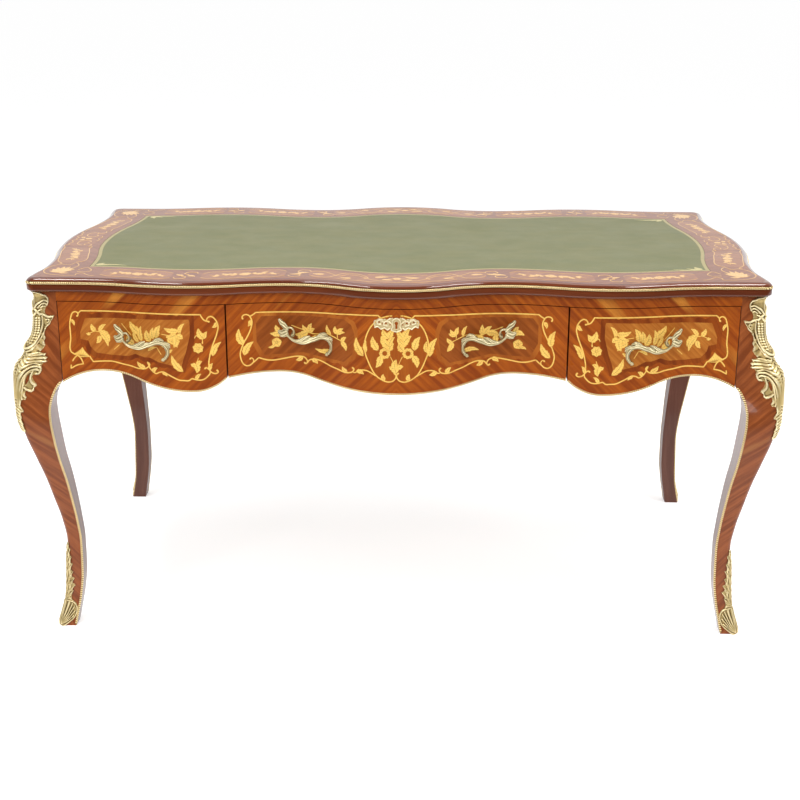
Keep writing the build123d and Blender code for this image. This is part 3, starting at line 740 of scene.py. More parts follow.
def ring_piece(name, loops, heights):
    """Band of faces round the top through closed outlines, its seam merged."""
    stack = stacked(loops, heights)
    count = stack.shape[1]
    gaps = np.linalg.norm(np.diff(stack[0], axis=0, append=stack[0][:1]), axis=1)
    length = np.concatenate([[0], np.cumsum(gaps)])
    falls = [np.linalg.norm(b - a, axis=1).mean() for a, b in zip(stack, stack[1:])]
    depth = np.concatenate([[0], np.cumsum(falls)])

    def place(s, t):
        i = np.rint(s * count).astype(int)
        j = np.rint(t * (len(stack) - 1)).astype(int)
        return MM * stack[j, i % count], MM * np.stack([length[i], depth[j]], -1)

    return laid_grid(name, count, len(stack) - 1, place)


def top_line(grow=0.0):
    return outline(TOP_X, TOP_Y, LONG_SIDE, TOP_END, TOP_ROUND, grow)


def leather_line(grow=0.0):
    return outline(LEATHER_X, LEATHER_Y, LEATHER_LONG, LEATHER_END, 0.001, grow)


def make_top():
    """Moulded board with its veneered border and the recess for the leather."""
    inner, edge = leather_line(), top_line(-TOP_FLAT)
    loops, heights = [inner, inner], [TOP_Z - LEATHER_DEEP, TOP_Z]
    for share in (0.25, 0.5, 0.75, 1):
        loops.append(inner + share * (edge - inner))
        heights.append(TOP_Z)
    moulding = path("""-10.4,771.6 -8.4,771.2 -6.2,770.4 -4.2,769.3 -2.6,767.8 -1.3,766.2
        -0.6,765.0 -1.2,764.5 -2.6,764.2 -2.6,758.8 -1.2,758.5 -0.1,758.0 0,757.0 0,748.0
        -0.3,746.9 -1.0,745.8 -2.2,744.8 -3.8,744.2 -4.6,743.8 -5.0,743.2 -6.5,742.6 -8.5,742.0
        -22,742.0""")
    loops += [top_line(grow) for grow, _ in moulding]
    heights += [z for _, z in moulding]
    board = closed(ring_piece("top_board", loops, heights))
    fit(board, "frame", TOP_WOOD, "kingwood_veneer", "top_panel")
    board.data.materials.append(TOP_EDGE)
    layer = board.data.uv_layers.active.data
    for face in board.data.polygons:
        if face.center.z <= (TOP_Z - 0.05) * MM:
            face.material_index = 1
            continue
        for loop in face.loop_indices:
            point = board.data.vertices[board.data.loops[loop].vertex_index].co
            x, y = abs(point.x), abs(point.y)
            by_front = y - LEATHER_Y * MM > x - LEATHER_X * MM
            layer[loop].uv = (-x, y) if by_front else (-y, x)
    return rounded(board, 40)


def even_line(points, step):
    """Points at even steps along a line, with their distances along it."""
    gap = np.linalg.norm(np.diff(points, axis=0), axis=1)
    length = np.concatenate([[0], np.cumsum(gap)])
    at = np.linspace(0, length[-1], max(2, int(length[-1] / step)) + 1)
    return np.stack([np.interp(at, length, points[:, i]) for i in range(points.shape[1])], -1), at


def strand(name, line, out, half_out, half_up, pitch, twist=0.7, step=0.85, loop=False):
    """Roped metal strip along a line of points in metres; out points away from what it lies on."""
    line, at = even_line(np.hstack([line, out]) / MM, step)
    line, out = line[:, :3] * MM, line[:, 3:]
    out = out / np.linalg.norm(out, axis=1)[:, None]
    along = np.gradient(line, axis=0)
    if loop:
        along[0] = along[-1] = line[1] - line[-2]
    up = np.cross(out, along)
    up /= np.linalg.norm(up, axis=1)[:, None]
    high = []

    def place(s, t):
        i = np.rint(t * (len(line) - 1)).astype(int)
        angle = 2 * math.pi * s
        bead = np.abs(np.sin(math.pi * at[i] / pitch + twist * np.cos(angle)))
        size = 0.55 + 0.45 * bead**0.55
        high.append(bead)
        sine, cosine = np.sin(angle)[:, None], np.cos(angle)[:, None]
        shift = MM * size[:, None] * (half_out * sine * out[i] + half_up * cosine * up[i])
        return line[i] + shift, MM * np.stack([10 * s, at[i]], -1)

    piece = laid_grid(name, 8, len(line) - 1, place)
    # bright on each bead's crest and dark in the grooves between: painted highlight and painted shade
    set_relief(piece, high[0] ** 1.6)
    return rounded(closed(piece), 60)


def make_top_bead():
    """Roped brass bead let in round the edge of the top."""
    ring = top_line(0.0)
    ring = np.vstack([ring, ring[:1]])
    middle = top_line(1.0)
    out = np.vstack([middle, middle[:1]]) - ring
    points = MM * np.column_stack([ring - 0.5 * out, np.full(len(ring), BEAD_Z)])
    away = np.column_stack([out, np.zeros(len(out))])
    bead = strand("top_bead", points, away, 2.4, BEAD_HALF + 0.2, 7.0, 0.75, step=1.0, loop=True)
    return fit(bead, "frame", GILT_STRIP, "gilt_brass", "top_edge_bead")


def make_leather():
    """Hide skived thin at its edge, laid in the recess of the top."""
    rings = [leather_line(-0.3), leather_line(-0.3), leather_line(-1.2)]
    count = len(rings[0])
    for share in np.linspace(0.06, 1, 14):
        rings.append(rings[2] * (1 - share))
    stack = stacked(rings, [TOP_Z - LEATHER_DEEP, TOP_Z - 0.45] + [TOP_Z - 0.1] * 15)

    def place(s, t):
        i = np.rint(s * count).astype(int) % count
        j = np.rint(t * (len(stack) - 1)).astype(int)
        return MM * stack[j, i], MM * stack[j, i, :2]

    hide = closed(laid_grid("leather", count, len(stack) - 1, place))
    return fit(rounded(hide, 50), "frame", LEATHER, "green_leather", "leather_writing_surface")


# ------------------------------------------------------------------ marquetry
class Inlay:
    """Thin shapes cut for one surface and let into it."""

    def __init__(self, surface, proud=0.2, scale=(1, 1), shift=(0, 0), layer_step=0.012):
        self.surface, self.proud, self.layer_step = surface, proud, layer_step
        self.scale, self.shift = scale, shift
        self.points, self.marks, self.faces = [], [], []
        self.count = self.layer = 0

    def ribbon(self, line, half_left, half_right=None, pattern=(0.0, 0.5, 1.0)):
        """Shape along a line, with its widths to the left and right at each point."""
        line = np.asarray(line, float) * self.scale + self.shift
        half_left = np.broadcast_to(half_left, len(line))
        half_right = half_left if half_right is None else np.asarray(half_right)
        course = np.gradient(line, axis=0)
        size = np.linalg.norm(course, axis=1)
        course = course / np.where(size > 0, size, 1)[:, None]
        side = np.stack([-course[:, 1], course[:, 0]], -1)
        along = np.concatenate([[0], np.cumsum(np.linalg.norm(np.diff(line, axis=0), axis=1))])
        rows = [line + side * half_left[:, None], line, line - side * half_right[:, None]]
        plan = np.stack(rows, 1).reshape(-1, 2)
        self.layer = (self.layer + 1) % 24  # overlapping shapes lie one over the other
        out = SKIN + self.proud + self.layer_step * self.layer
        self.points.append(self.surface(plan[:, 0], plan[:, 1], out))
        self.marks.append(np.stack([np.tile(pattern, len(line)), np.repeat(along * MM, 3)], -1))
        for row in range(len(line) - 1):
            for column in (0, 1):
                a = self.count + row * 3 + column
                self.faces.append((a, a + 1, a + 4, a + 3))
        self.count += len(plan)

    def line(self, points, width=2.6, knob=0.0):
        """Stringing through the points, with a knob at its end."""
        course = smooth_line(points)
        half = np.full(len(course), width / 2)
        half[0] *= 0.4
        if knob:
            tail = 2.0 * np.arange(len(course))[::-1]
            half = np.maximum(half, knob * np.sqrt(np.clip(1 - ((tail - knob) / knob) ** 2, 0, 1)))
        else:
            half[-1] *= 0.4
        self.ribbon(course, half, pattern=(0.89, 0.89, 0.89))

    def leaf(self, base, tip, half_width, teeth=4):
        """Pointed leaf with a toothed edge."""
        base, tip = np.array(base, float), np.array(tip, float)
        t = np.linspace(0, 1, 4 * teeth + 3)
        axis = tip - base
        side = np.array([-axis[1], axis[0]])
        course = base + t[:, None] * axis + 0.12 * np.sin(math.pi * t)[:, None] * side
        body = np.sin(math.pi * t**0.75) ** 0.9
        tooth = 1 + 0.28 * ((t * teeth) % 1 - 0.5)
        half = half_width * body * tooth + 0.25
        half[-1] = 0.05
        self.ribbon(course, half, half * np.where(t > 0.5, 0.9, 1.05))

    def petal(self, base, tip, half_width):
        """Round petal."""
        t = np.linspace(0, 1, 8)
        course = np.array(base, float) + t[:, None] * (np.array(tip, float) - base)
        self.ribbon(course, half_width * np.sin(math.pi * np.clip(0.12 + 0.85 * t, 0, 1)) + 0.1)

    def flower(self, middle, radius, petals=6, wide=0.5):
        """Open flower seen from the front."""
        middle = np.array(middle, float)
        for number in range(petals):
            angle = 0.2 + 2 * math.pi * number / petals
            way = np.array([math.cos(angle), math.sin(angle)])
            self.petal(middle + 0.25 * radius * way, middle + radius * way, wide * radius)
        self.petal(middle - (0.2 * radius, 0), middle + (0.2 * radius, 0), 0.2 * radius)

    def piece(self, name):
        made = sheet_piece(name, np.vstack(self.points), self.faces, np.vstack(self.marks))
        return thickened(made, self.proud + 0.15)


def sided(side):
    """Function that gives points, from text or not, on one side of the middle."""

    def at(points):
        points = path(points) if isinstance(points, str) else points
        return [(side * u, v) for u, v in points]

    return at


def leaves(inlay, text, at=sided(1)):
    """Leaves given as base, tip and half width."""
    for row in text.split(";"):
        base, tip, half_width = row.split()
        inlay.leaf(*at(base), *at(tip), float(half_width))


def draw_side_drawer(inlay):
    """Frame, garland and flower spray of the left drawer front."""
    inlay.line(path("""-373,687 -383,690 -388,696 -391,702 -391,702 -526,703 -636,702 -636,702
        -642,696"""))
    inlay.line(path("""-663,589 -664,581 -664,581 -651,588 -638,591 -638,591 -640,598 -644,605
        -651,610 -661,616 -663,625 -663,625 -662,633 -660,645 -660,659 -660,673 -658,684 -655,694
        -651,699 -646,700 -642,697 -642,693 -645,690"""), knob=1.9)
    inlay.line(path("-660,596 -656,602 -650,608 -641,612"))
    inlay.line(path("""-624,608 -621,602 -617,596 -617,596 -593,598 -575,598 -556,594 -538,591
        -523,587 -509,587 -502,591 -498,597 -503,601"""), knob=1.8)
    inlay.line(path("""-503,602 -500,595 -498,589 -491,581 -485,578 -479,581 -470,582 -461,577
        -450,571 -439,566 -428,565 -419,565 -413,569 -405,567 -397,566 -388,568 -380,575 -376,582
        -378,600 -376,614 -372,630 -366,646 -360,662 -357,676 -359,686 -364,694 -370,698 -376,696
        -379,691 -377,688 -373,687"""), knob=1.9)
    inlay.line(path("-377,586 -380,590 -384,592 -387,589"), knob=1.9)
    inlay.line(path("-377,586 -372,581 -365,579 -360,582 -363,587"), knob=1.9)
    inlay.line(path("-404,653 -402,658 -395,659 -389,651 -389,642"), 1.7, knob=1.6)
    inlay.line([(-398, 613), (-401, 604), (-404, 597)], 1.6)
    inlay.line(path("-622,655 -610,660 -602,660 -591,669"), 1.6)
    inlay.line([(-602, 660), (-592, 653), (-583, 645)], 1.6)
    inlay.line([(-572, 623), (-560, 634)], 1.4)
    inlay.line([(-553, 679), (-542, 665), (-533, 655)], 1.4)
    inlay.line([(-482, 634), (-473, 618)], 1.4)
    inlay.line([(-471, 661), (-459, 659), (-448, 656)], 1.6)
    inlay.line([(-442, 645), (-434, 661), (-427, 680)], 1.8)
    leaves(inlay, """
        -657,684 -651,671 3; -358,686 -369,675 4; -377,586 -370,601 3.6; -405,567 -394,579 3.6;
        -493,581 -482,590 4; -473,581 -463,573 3.2; -507,588 -524,601 5; -386,652 -396,674 6.5;
        -385,652 -379,667 4; -403,598 -414,600 4.5; -402,598 -391,605 4.5; -404,600 -403,581 6.5;
        -370,616 -352,645 5.6; -608,660 -616,675 5; -601,660 -586,675 4; -619,655 -628,655 3;
        -599,660 -580,639 7.8; -599,658 -584,629 5; -600,651 -608,635 5; -514,661 -535,684 7.5;
        -519,642 -528,666 4; -528,638 -544,653 6; -512,645 -512,676 5; -494,645 -501,668 7;
        -482,652 -472,679 6.5; -488,650 -487,674 4.8; -436,669 -465,674 5.6; -436,664 -423,684 3.6;
        -440,661 -462,656 7; -442,658 -447,634 7; -440,657 -428,652 7; -460,650 -439,634 5;
        -500,625 -481,633 2.6; -471,634 -457,645 2.8; -457,622 -449,629 2.6; -430,584 -452,618 6.5""")
    inlay.ribbon([(-657, 611), (-640, 606), (-624, 606)], [0.3, 1, 0.3], [0.3, 1, 0.3])
    fan = [0.3, 3, 7, 11, 17, 11, 7, 3.5, 0.3]
    inlay.ribbon(np.linspace((-656, 612), (-624, 607), 9), fan, np.full(9, 0.8))
    inlay.flower((-398, 633), 11, petals=7, wide=0.42)


def draw_even_front(inlay, locked=True):
    """Frame, medallion and sprays of the centre front, alike to both sides."""
    for side in (1, -1):
        at = sided(side)
        inlay.line(at("""14,708 27,704 40,696 52,682 60,664 63,648 62,630 57,615 50,599 41,585
            29,576 17,572 7,574 1,581 1,587 5,591"""), knob=1.8)
        inlay.line(at("8,708 14,708" if locked else "0,707 14,708"))
        inlay.line(at("29,701 36,708 36,708 87,706 140,703 283,702 283,702 288,698 295,694"))
        inlay.line(at("""280,608 285,603 291,598 297,593 304,592 310,596 314,604 316,617 313,629
            308,641 302,651 296,663 292,675 291,684 294,693 299,698 306,698 310,694 308,689"""), knob=1.9)
        inlay.line(at("291,597 290,604 294,608 298,605"), 2.0, knob=1.8)
        inlay.line(at("""280,608 264,603 249,602 231,605 216,608 204,610 192,610 185,607 181,600
            184,595 188,598"""), knob=1.8)
        inlay.line(at("""181,597 177,603 170,605 160,605 148,601 133,594 118,589 106,585 96,585
            88,588 85,594 89,597"""), knob=1.8)
        inlay.line(at("87,587 82,587 76,592 67,594 58,593 50,589 40,583"), 2.4)
        inlay.line(at("""101,631 103,639 108,647 120,653 132,658 141,661 156,659 170,659 185,665
            200,670 213,675"""), 1.7)
        inlay.line(at("118,654 119,663"), 1.5)
        leaves(inlay, """
            294,687 299,674 3.7; 309,636 317,670 6.5; 308,614 289,642 6.5; 172,605 160,596 4.5;
            191,610 205,602 4.5; 99,585 109,596 4.5; 80,591 65,585 4.5; 66,623 80,660 7;
            60,632 60,655 4; 36,637 47,665 7; 32,626 41,601 6.5; 24,574 26,588 4.3;
            14,662 3,681 5.7; 15,662 27,681 6.3; 10,643 30,667 8; 15,636 5,652 6.5; 15,648 3,665 5;
            23,653 28,664 2; 119,662 106,675 3.7; 119,662 123,678 4.3; 119,662 103,667 3.4;
            132,659 140,679 3.7; 110,647 100,658 3.7; 111,648 101,630 4.8; 176,661 171,680 4.8;
            176,661 190,676 4.8; 176,661 165,669 4.3; 179,662 206,656 6.3; 196,658 196,640 5.7;
            229,662 256,658 6.3; 237,662 244,675 4.8; 247,633 260,629 2.8; 132,627 165,628 4.5;
            160,655 178,645 4.8""", at)
        for number in range(9):
            angle = 0.4 + 2 * math.pi * number / 9
            way = np.array([math.cos(angle), math.sin(angle)])
            middle = np.array((side * 23, 631))
            inlay.petal(middle + 5 * way, middle + 11.5 * way, 4.2)
        inlay.flower((side * 243, 639), 10, petals=5, wide=0.6)
        inlay.line(at("12,625 6,612 3,603"), 1.4)
    leaves(inlay, "0,590 0,619 8; -2,600 -14,604 5; 2,600 14,604 5")


def skin_piece(name, surface, low_line, top):
    """Show veneer on a serpentine face, from a lower line up to a level."""
    low_u, low_v = low_line[:, 0], low_line[:, 1]
    start, end = low_u[0], low_u[-1]

    def place(s, t):
        u = start + s * (end - start)
        low = np.interp(u, low_u, low_v)
        v = low + t * (top - low)
        return surface(u, v, SKIN), MM * np.stack([-np.abs(u), v], -1)

    return laid_grid(name, max(24, int((end - start) / 5)), 24, place)


def strip_piece(name, surface, edge):
    """Roped brass strip along an apron's edge."""
    along, up = edge[:, 0], edge[:, 1] + STRIP / 2
    line = surface(along, up, 0.1)
    return strand(name, line, surface(along, up, 1.1) - line, 1.7, 2.1, 4.6)


def clouded(line, rise):
    """Line moved up by a rise, in scallops, and drawn out at both ends."""
    middle = (line[0, 0] + line[-1, 0]) / 2
    wide = abs(line[-1, 0] - line[0, 0]) / 2
    u = np.linspace(line[0, 0], line[-1, 0], 120)
    v = np.interp(u, line[:, 0], line[:, 1])
    scallop = rise * (0.75 + 0.45 * np.abs(np.sin(u / 7.5 + 0.8 * np.sin(u / 23))))
    return np.stack([middle + (u - middle) * (1 + abs(rise) / wide), v + scallop], -1)


def field_piece(name, surface, upper, lower, out=0.08, spread_by=0.0):
    """Veneer let in behind a spray between two lines; spread out, it gets a clouded edge."""
    upper, lower = np.array(upper, float), np.array(lower, float)
    if spread_by:
        upper, lower = clouded(upper, spread_by), clouded(lower, -spread_by)

    def place(s, t):
        u = upper[0, 0] + s * (upper[-1, 0] - upper[0, 0])
        top = np.interp(u, upper[:, 0], upper[:, 1])
        low = np.minimum(np.interp(u, lower[:, 0], lower[:, 1]), top - 0.2)
        v = low + t * (top - low)
        return surface(u, v, SKIN + out), MM * np.stack([np.abs(u), v], -1)

    return thickened(laid_grid(name, 140, 6, place), 0.2)


# ------------------------------------------------------------------ legs
INSIDE_MARK = 1000  # pattern places of a leg's inner faces start here, in millimetres


def make_leg():
    """Cabriole leg: veneered show faces, an eased corner and plain inner faces."""
    knee, calf = np.linspace(557, 430, 60), np.linspace(427, 0, 110)
    heights = np.concatenate([np.linspace(FRIEZE_Z, 560, 46), knee, calf])
    show, inside = 26, 5

    def place(s, t):
        z = np.interp(t * (len(heights) - 1), np.arange(len(heights)), heights)
        column = s * (show + 2 * inside)
        width = show_width(z)
        _, inner, face = leg_at(z)
        across = np.clip(2 * column / show - 1, -1, 1)
        points = corner_place(across * width, z)
        first = np.clip((column - show) / inside, 0, 1)
        second = np.clip((column - show - inside) / inside, 0, 1)
        a = inner - second * (inner - face)
        b = face + first * (inner - face)
        behind = MM * np.stack([a - FRIEZE_X, b - FRIEZE_Y, z], -1)
        hidden = column > show + 1e-6
        points = np.where(hidden[:, None], behind, points)
        mark = INSIDE_MARK + (first + second) * (inner - face)
        mark = np.where(hidden, mark, -np.abs(across) * width)
        return points, MM * np.stack([mark, z], -1)

    leg = closed(laid_grid("front_left_leg_veneered", show + 2 * inside, len(heights) - 1, place))
    for finish in (LEG_WOOD, LEG_INSIDE):
        leg.data.materials.append(finish)
    marks = leg.data.uv_layers.active.data
    for face in leg.data.polygons:
        inner = max(marks[i].uv[0] for i in face.loop_indices) > INSIDE_MARK * MM / 2
        face.material_index = int(inner)
    return rounded(leg, 38)


def make_leg_beads():
    """Roped strips on the inner edges of a leg's two show faces."""
    heights = np.linspace(553, 4, 180)
    width = show_width(heights) - 1.6
    pieces = []
    for side in (1, -1):
        line = corner_place(side * width, heights, 0.1)
        out = corner_place(side * width, heights, 1.1) - line
        pieces.append(strand("leg_bead", line, out, 1.9, 2.5, 4.6))
    return joined("front_left_leg_beads", pieces)


# ------------------------------------------------------------------ cast relief
def shared_out(values, count):
    """Values spread evenly along a line."""
    values = np.atleast_1d(values)
    return np.interp(np.linspace(0, 1, count), np.linspace(0, 1, len(values)), values)


def rib(across, up, points, half_width, height, power=0.5):
    """Height of a rounded ridge along a line of (across, up) points, zero beyond it."""
    line = smooth_line(points, 3.0)
    widths = shared_out(half_width, len(line))
    best = np.full(across.shape, BARE)
    for (a, b), (c, d), wide in zip(line, line[1:], widths):
        run = (c - a) ** 2 + (d - b) ** 2
        t = np.clip(((across - a) * (c - a) + (up - b) * (d - b)) / max(run, 1e-9), 0, 1)
        near = (across - a - t * (c - a)) ** 2 + (up - b - t * (d - b)) ** 2
        shape = 1 - near / wide**2
        best = np.maximum(best, np.where(shape > 0, height * np.clip(shape, 0, 1) ** power, BARE))
    return best


def lobe(across, up, base, tip, half_width, height):
    """Height of a leaf-shaped lobe with a rib to its tip."""
    axis = np.subtract(tip, base)
    length = np.hypot(*axis)
    t = ((across - base[0]) * axis[0] + (up - base[1]) * axis[1]) / length**2
    off = ((up - base[1]) * axis[0] - (across - base[0]) * axis[1]) / length
    wide = half_width * np.sin(math.pi * np.clip(t, 0, 1) ** 0.7) ** 0.6
    share = off / np.maximum(wide, 1e-6)
    inside = (t > 0) & (t < 1) & (np.abs(share) < 1)
    body = height * np.sqrt(np.clip(1 - share**2, 0, 1)) * (0.75 + 0.25 * np.cos(math.pi * share))
    return np.where(inside, body, BARE)


# Outline of the corner mount on a show face, down from its collar: distance from the corner, height.
MOUNT_EDGE = path("""-9,745 0,743.5 8,741 13,737 20,734 25,728 26,722 24,714 20,709 18,703 19,697
    23,693 27,692 37,693 35,687 31,681 29,675 23,669 20,662 20,654 24,647 23,641 28,633 26,626
    22,620 28,617 35,616 35,611 41,607 39,603 44,599 37,596 36,593 39,586 40,579 36,573 30,574
    26,576 25,571 29,563 35,556 37,551 32,549 33,543 28,539 23,541 20,545 17,543 17,537 20,531
    17,526 11,527 9,521 8,515 13,504 12,501 8,501 6.5,496 7.5,489 5.5,486 5.5,480 7,474 5,472 5,466
    6,460 3,454 -9,453""")
# How far the casting stands off the corner, by height.
MOUNT_BODY = path("""453,1.5 462,3.5 476,4.5 500,3.2 520,2.4 545,3.2 560,5.5 573,8.5 588,12.0
    596,13.5 604,11.5 612,7.0 621,7.0 629,12.0 640,8.5 650,6.0 665,5.0 700,5.0 730,5.5 738,8.0
    744,11.5""")


def within(outline, across, up):
    """Whether places lie inside a closed outline."""
    inside = np.zeros(across.shape, bool)
    for (a, b), (c, d) in zip(outline, (*outline[1:], outline[0])):
        if b != d:
            inside ^= ((b > up) != (d > up)) & (across < a + (up - b) / (d - b) * (c - a))
    return inside


# Ridges of the corner mount from its collar to its tail: points, half widths along them, height.
MOUNT_RIDGES = (
    ("0,742.5 7,741 13,737 19,734", "3.0,2.2,1.6", 2.4),
    ("12,736 20,732 23.5,727 24,720 22,714", "1.8", 2.6),
    ("2,709 5,716 10,721 16,724 22,722", "1.4,2.2,1.6", 3.4),
    ("6,709 11,716 17,718 22,715", "1.2,2.0,1.4", 2.6),
    ("11,709 15,712 19,711", "1.4", 2.2),
    ("0,712 0,736", "1.3", 1.6),
    ("0,708 5,702 10,695", "2.4,2.0,1.4", 3.0),
    ("12,706 6,702 0,693", "1.4,2.0,2.2", 3.0),
    ("10,697 17,694 25,690 35,690", "1.6,2.6,2.2,1.4", 3.0),
    ("34,687 29,677 22,670", "1.4,2.0,1.6", 2.6),
    ("20,684 25,685 27,681 24,678", "1.5", 2.2),
    ("0,690 0,664 0,640", "1.6,1.4,1.2", 1.8),
    ("14,692 15,676 13,662 11,649 8,638 4,631 0,628", "1.6,2.0,2.2,2.4", 3.4),
    ("20,666 18,655 15,645 11,635 7,627 2,622", "1.4,1.8,2.0,2.2", 2.8),
    ("21,661 20,654 23,648", "1.5", 2.0),
    ("33,594 20,598.5 10,598 5,593 2.5,584 1.5,574 1,560 1,530", "1.6,2.0,2.0,2.2,1.8", 2.6),
    ("38,583 35,589 28,592 17,592 9.5,587 6,579 5,569 4.5,550 4.5,518", "2.2,2.6,2.4,2.2,1.6", 3.4),
    ("31,577 36,577 36,582 28,586 18,584 12,577 9,567 8,549 7.5,522", "2.2,2.4,2.2,2.0,1.6", 3.0),
    ("24,582 16,580 12.5,572 12,560 12,546 11,534 12,526", "1.4,1.6,1.8,1.8,1.4", 2.6),
    ("23,580 22,570 26,561 33,554", "1.6,2.2,2.8", 2.8),
    ("15,552 20,547 28,543 33,547 32,553", "1.8,2.4,2.4,1.8", 2.8),
)
# Leaves and lobes of the shell: base, tip, half width, height.
MOUNT_LEAVES = (
    "14,690 24,672 5 1.8", "15,657 24,643 4 2.4", "14,647 28,632 5 2.8", "12,636 24,621 4.5 2.4",
    "2,618 27,619 3.4 3.2", "3,616 35,614 4.0 3.2", "3,611 41,606 4.4 3.2", "5,605 44,599 4.0 3.2",
    "9,545 20,530 4.5 2.4", "6,524 13,502 4.0 2.4",
)
MOUNT_ROOM = 49.6  # furthest that the mount may reach past the frieze corner


class Relief:
    """Heights of a casting on both sides of its middle, raised by what is modelled on it."""

    def __init__(self, across, up):
        self.across, self.up = np.abs(across), up
        self.height = np.zeros(across.shape)

    def lift(self, height):
        np.maximum(self.height, height, out=self.height)

    def ridge(self, points, half, height, power=0.6):
        self.lift(rib(self.across, self.up, points, half, height, power))

    def leaf(self, base, tip, half, height):
        self.lift(lobe(self.across, self.up, base, tip, half, height))

    def pearl(self, across, up, size, height):
        near = ((self.across - across) ** 2 + (self.up - up) ** 2) / size
        self.lift(height * np.sqrt(np.clip(1 - near, 0, 1)))

    def body(self, profile, edge, start, width):
        """Swelling of the casting under its relief, high at the corner and thin at the edge."""
        fall = np.clip((self.across - start) / width, 0, 1)
        rise = np.interp(self.up, *zip(*profile))
        return edge + (rise - edge) * (1 - fall * fall * (3 - 2 * fall))


def corner_mount_relief(across, z):
    """Relief of the leg mount: flared collar, pearled channel, shell, great scroll and tail."""
    made = Relief(across, z)
    for points, half, height in MOUNT_RIDGES:
        made.ridge(path(points), path(half)[0], height)
    for text in MOUNT_LEAVES:
        base, tip, (half,), (height,) = path(text)
        made.leaf(base, tip, half, height)
    for number in range(11):  # two rows of pearls in the channel
        for drift in (4.2, 9.0):
            made.pearl(drift - 0.16 * max(0, number - 4) * drift / 4, 688 - 4.9 * number, 5.0, 2.0)
    for spot in ((33, 614), (38, 606), (41, 600), (27, 620)):  # tips of the shell
        made.pearl(*spot, 8, 2.6)
    for number in range(7):  # feathered corner above the great scroll
        foot = 617 - 7 * number
        made.leaf((6, foot - 5), (0, foot + 6), 2.8, 2.8)
    for number in range(10):  # braided tail
        foot = 522 - 7 * number
        made.ridge([(0, foot + 3), (3, foot), (9 - 0.4 * number, foot - 5)], (1.6, 1.8, 1.2), 1.9)
    room = np.maximum(MOUNT_ROOM + leg_at(z)[0], 1)
    shape = np.minimum(made.body(MOUNT_BODY, 1.2, 6, 15) + made.height, room)
    s = made.across
    pierced = ((s - 17 - 0.05 * (z - 567)) / 2.4) ** 2 + ((z - 567) / 9.5) ** 2 < 1
    return np.where(within(MOUNT_EDGE, s, z) & ~pierced, shape, BARE)


SABOT_EDGE = path("""-9,0 7,0 12,4 20,10 26,19 28,30 27,40 21,49 12,56 9,62 9,68 12,76 10,80 16,90
    11,93 10,98 14,105 9,108 8,113 11,120 7,123 7,130 10,138 6,141 6,147 8,153 5,157 4,165 6,170
    3,175 2,186 -9,187""")
SABOT_BODY = path("0,4.0 12,6.0 28,5.0 45,3.2 56,3.4 62,2.6 120,2.8 150,2.6 186,1.6")


def sabot_relief(across, z):
    """Relief of the foot mount: fluted shell cup and a leafy trail above it."""
    made = Relief(across, z)
    # cup: a rim round ridges that fan from the toe
    made.ridge(path("2,56 12,53 22,46 26.5,34 24,21 17,11 6,2"), (1.8, 2.0, 2.0), 2.2)
    for tip in path("0,54 7,52 13.5,48 18.5,41 21.5,32 20.5,21"):
        made.ridge([(2, 5), (1 + tip[0] / 2, 2 + tip[1] / 2), tip], (0.9, 1.5, 2.2), 2.9, 0.8)
    made.ridge([(0, 60), (6, 61), (10, 58)], (2.4, 2.0), 2.4)
    # stem of two crossing strands, and leaves that curl off it
    for lean in (1, -1):
        points = [(3.2 + 2.6 * lean * math.cos(0.11 * height), height) for height in range(60, 182, 7)]
        made.ridge(points, (2.0, 1.8, 1.2), 2.0)
    for text in ("3,76 16,90 3.0", "3,90 14,105 3.0", "3,106 11,120 2.6", "2,124 10,138 2.6",
                 "2,140 8,153 2.2", "1,157 6,170 2.0", "2,64 12,77 2.6", "0,172 2,186 1.6"):
        root, tip, (half,) = path(text)
        made.leaf(root, tip, half, 2.4)
        middle = ((root[0] + tip[0]) / 2 + 2, (root[1] + tip[1]) / 2 - 2)
        made.ridge([root, middle, tip], (1.5, 1.2, 0.9), 2.6)
    shape = made.body(SABOT_BODY, 1.0, 4, 14) + made.height
    return np.where(within(SABOT_EDGE, made.across, z), shape, BARE)


def standing_out(level, columns, reach):
    """How far each place of a relief stands over the places round it."""
    grid = level.reshape(-1, columns)
    for axis in (0, 1):
        rows = np.concatenate([grid[:1].repeat(reach, 0), grid, grid[-1:].repeat(reach, 0)])
        total = np.cumsum(np.concatenate([np.zeros((1, rows.shape[1])), rows]), axis=0)
        grid = ((total[2 * reach + 1 :] - total[: -2 * reach - 1]) / (2 * reach + 1)).T
    return level - grid.ravel()


def cut_away(piece, chosen):
    """Deletes the chosen faces."""
    only(piece)
    for part in (piece.data.vertices, piece.data.edges):
        part.foreach_set("select", np.zeros(len(part), bool))
    piece.data.polygons.foreach_set("select", np.asarray(chosen, bool))
    bpy.ops.object.mode_set(mode="EDIT")
    bpy.ops.mesh.select_mode(type="FACE")
    bpy.ops.mesh.delete(type="FACE")
    bpy.ops.mesh.select_mode(type="VERT")
    bpy.ops.object.mode_set(mode="OBJECT")


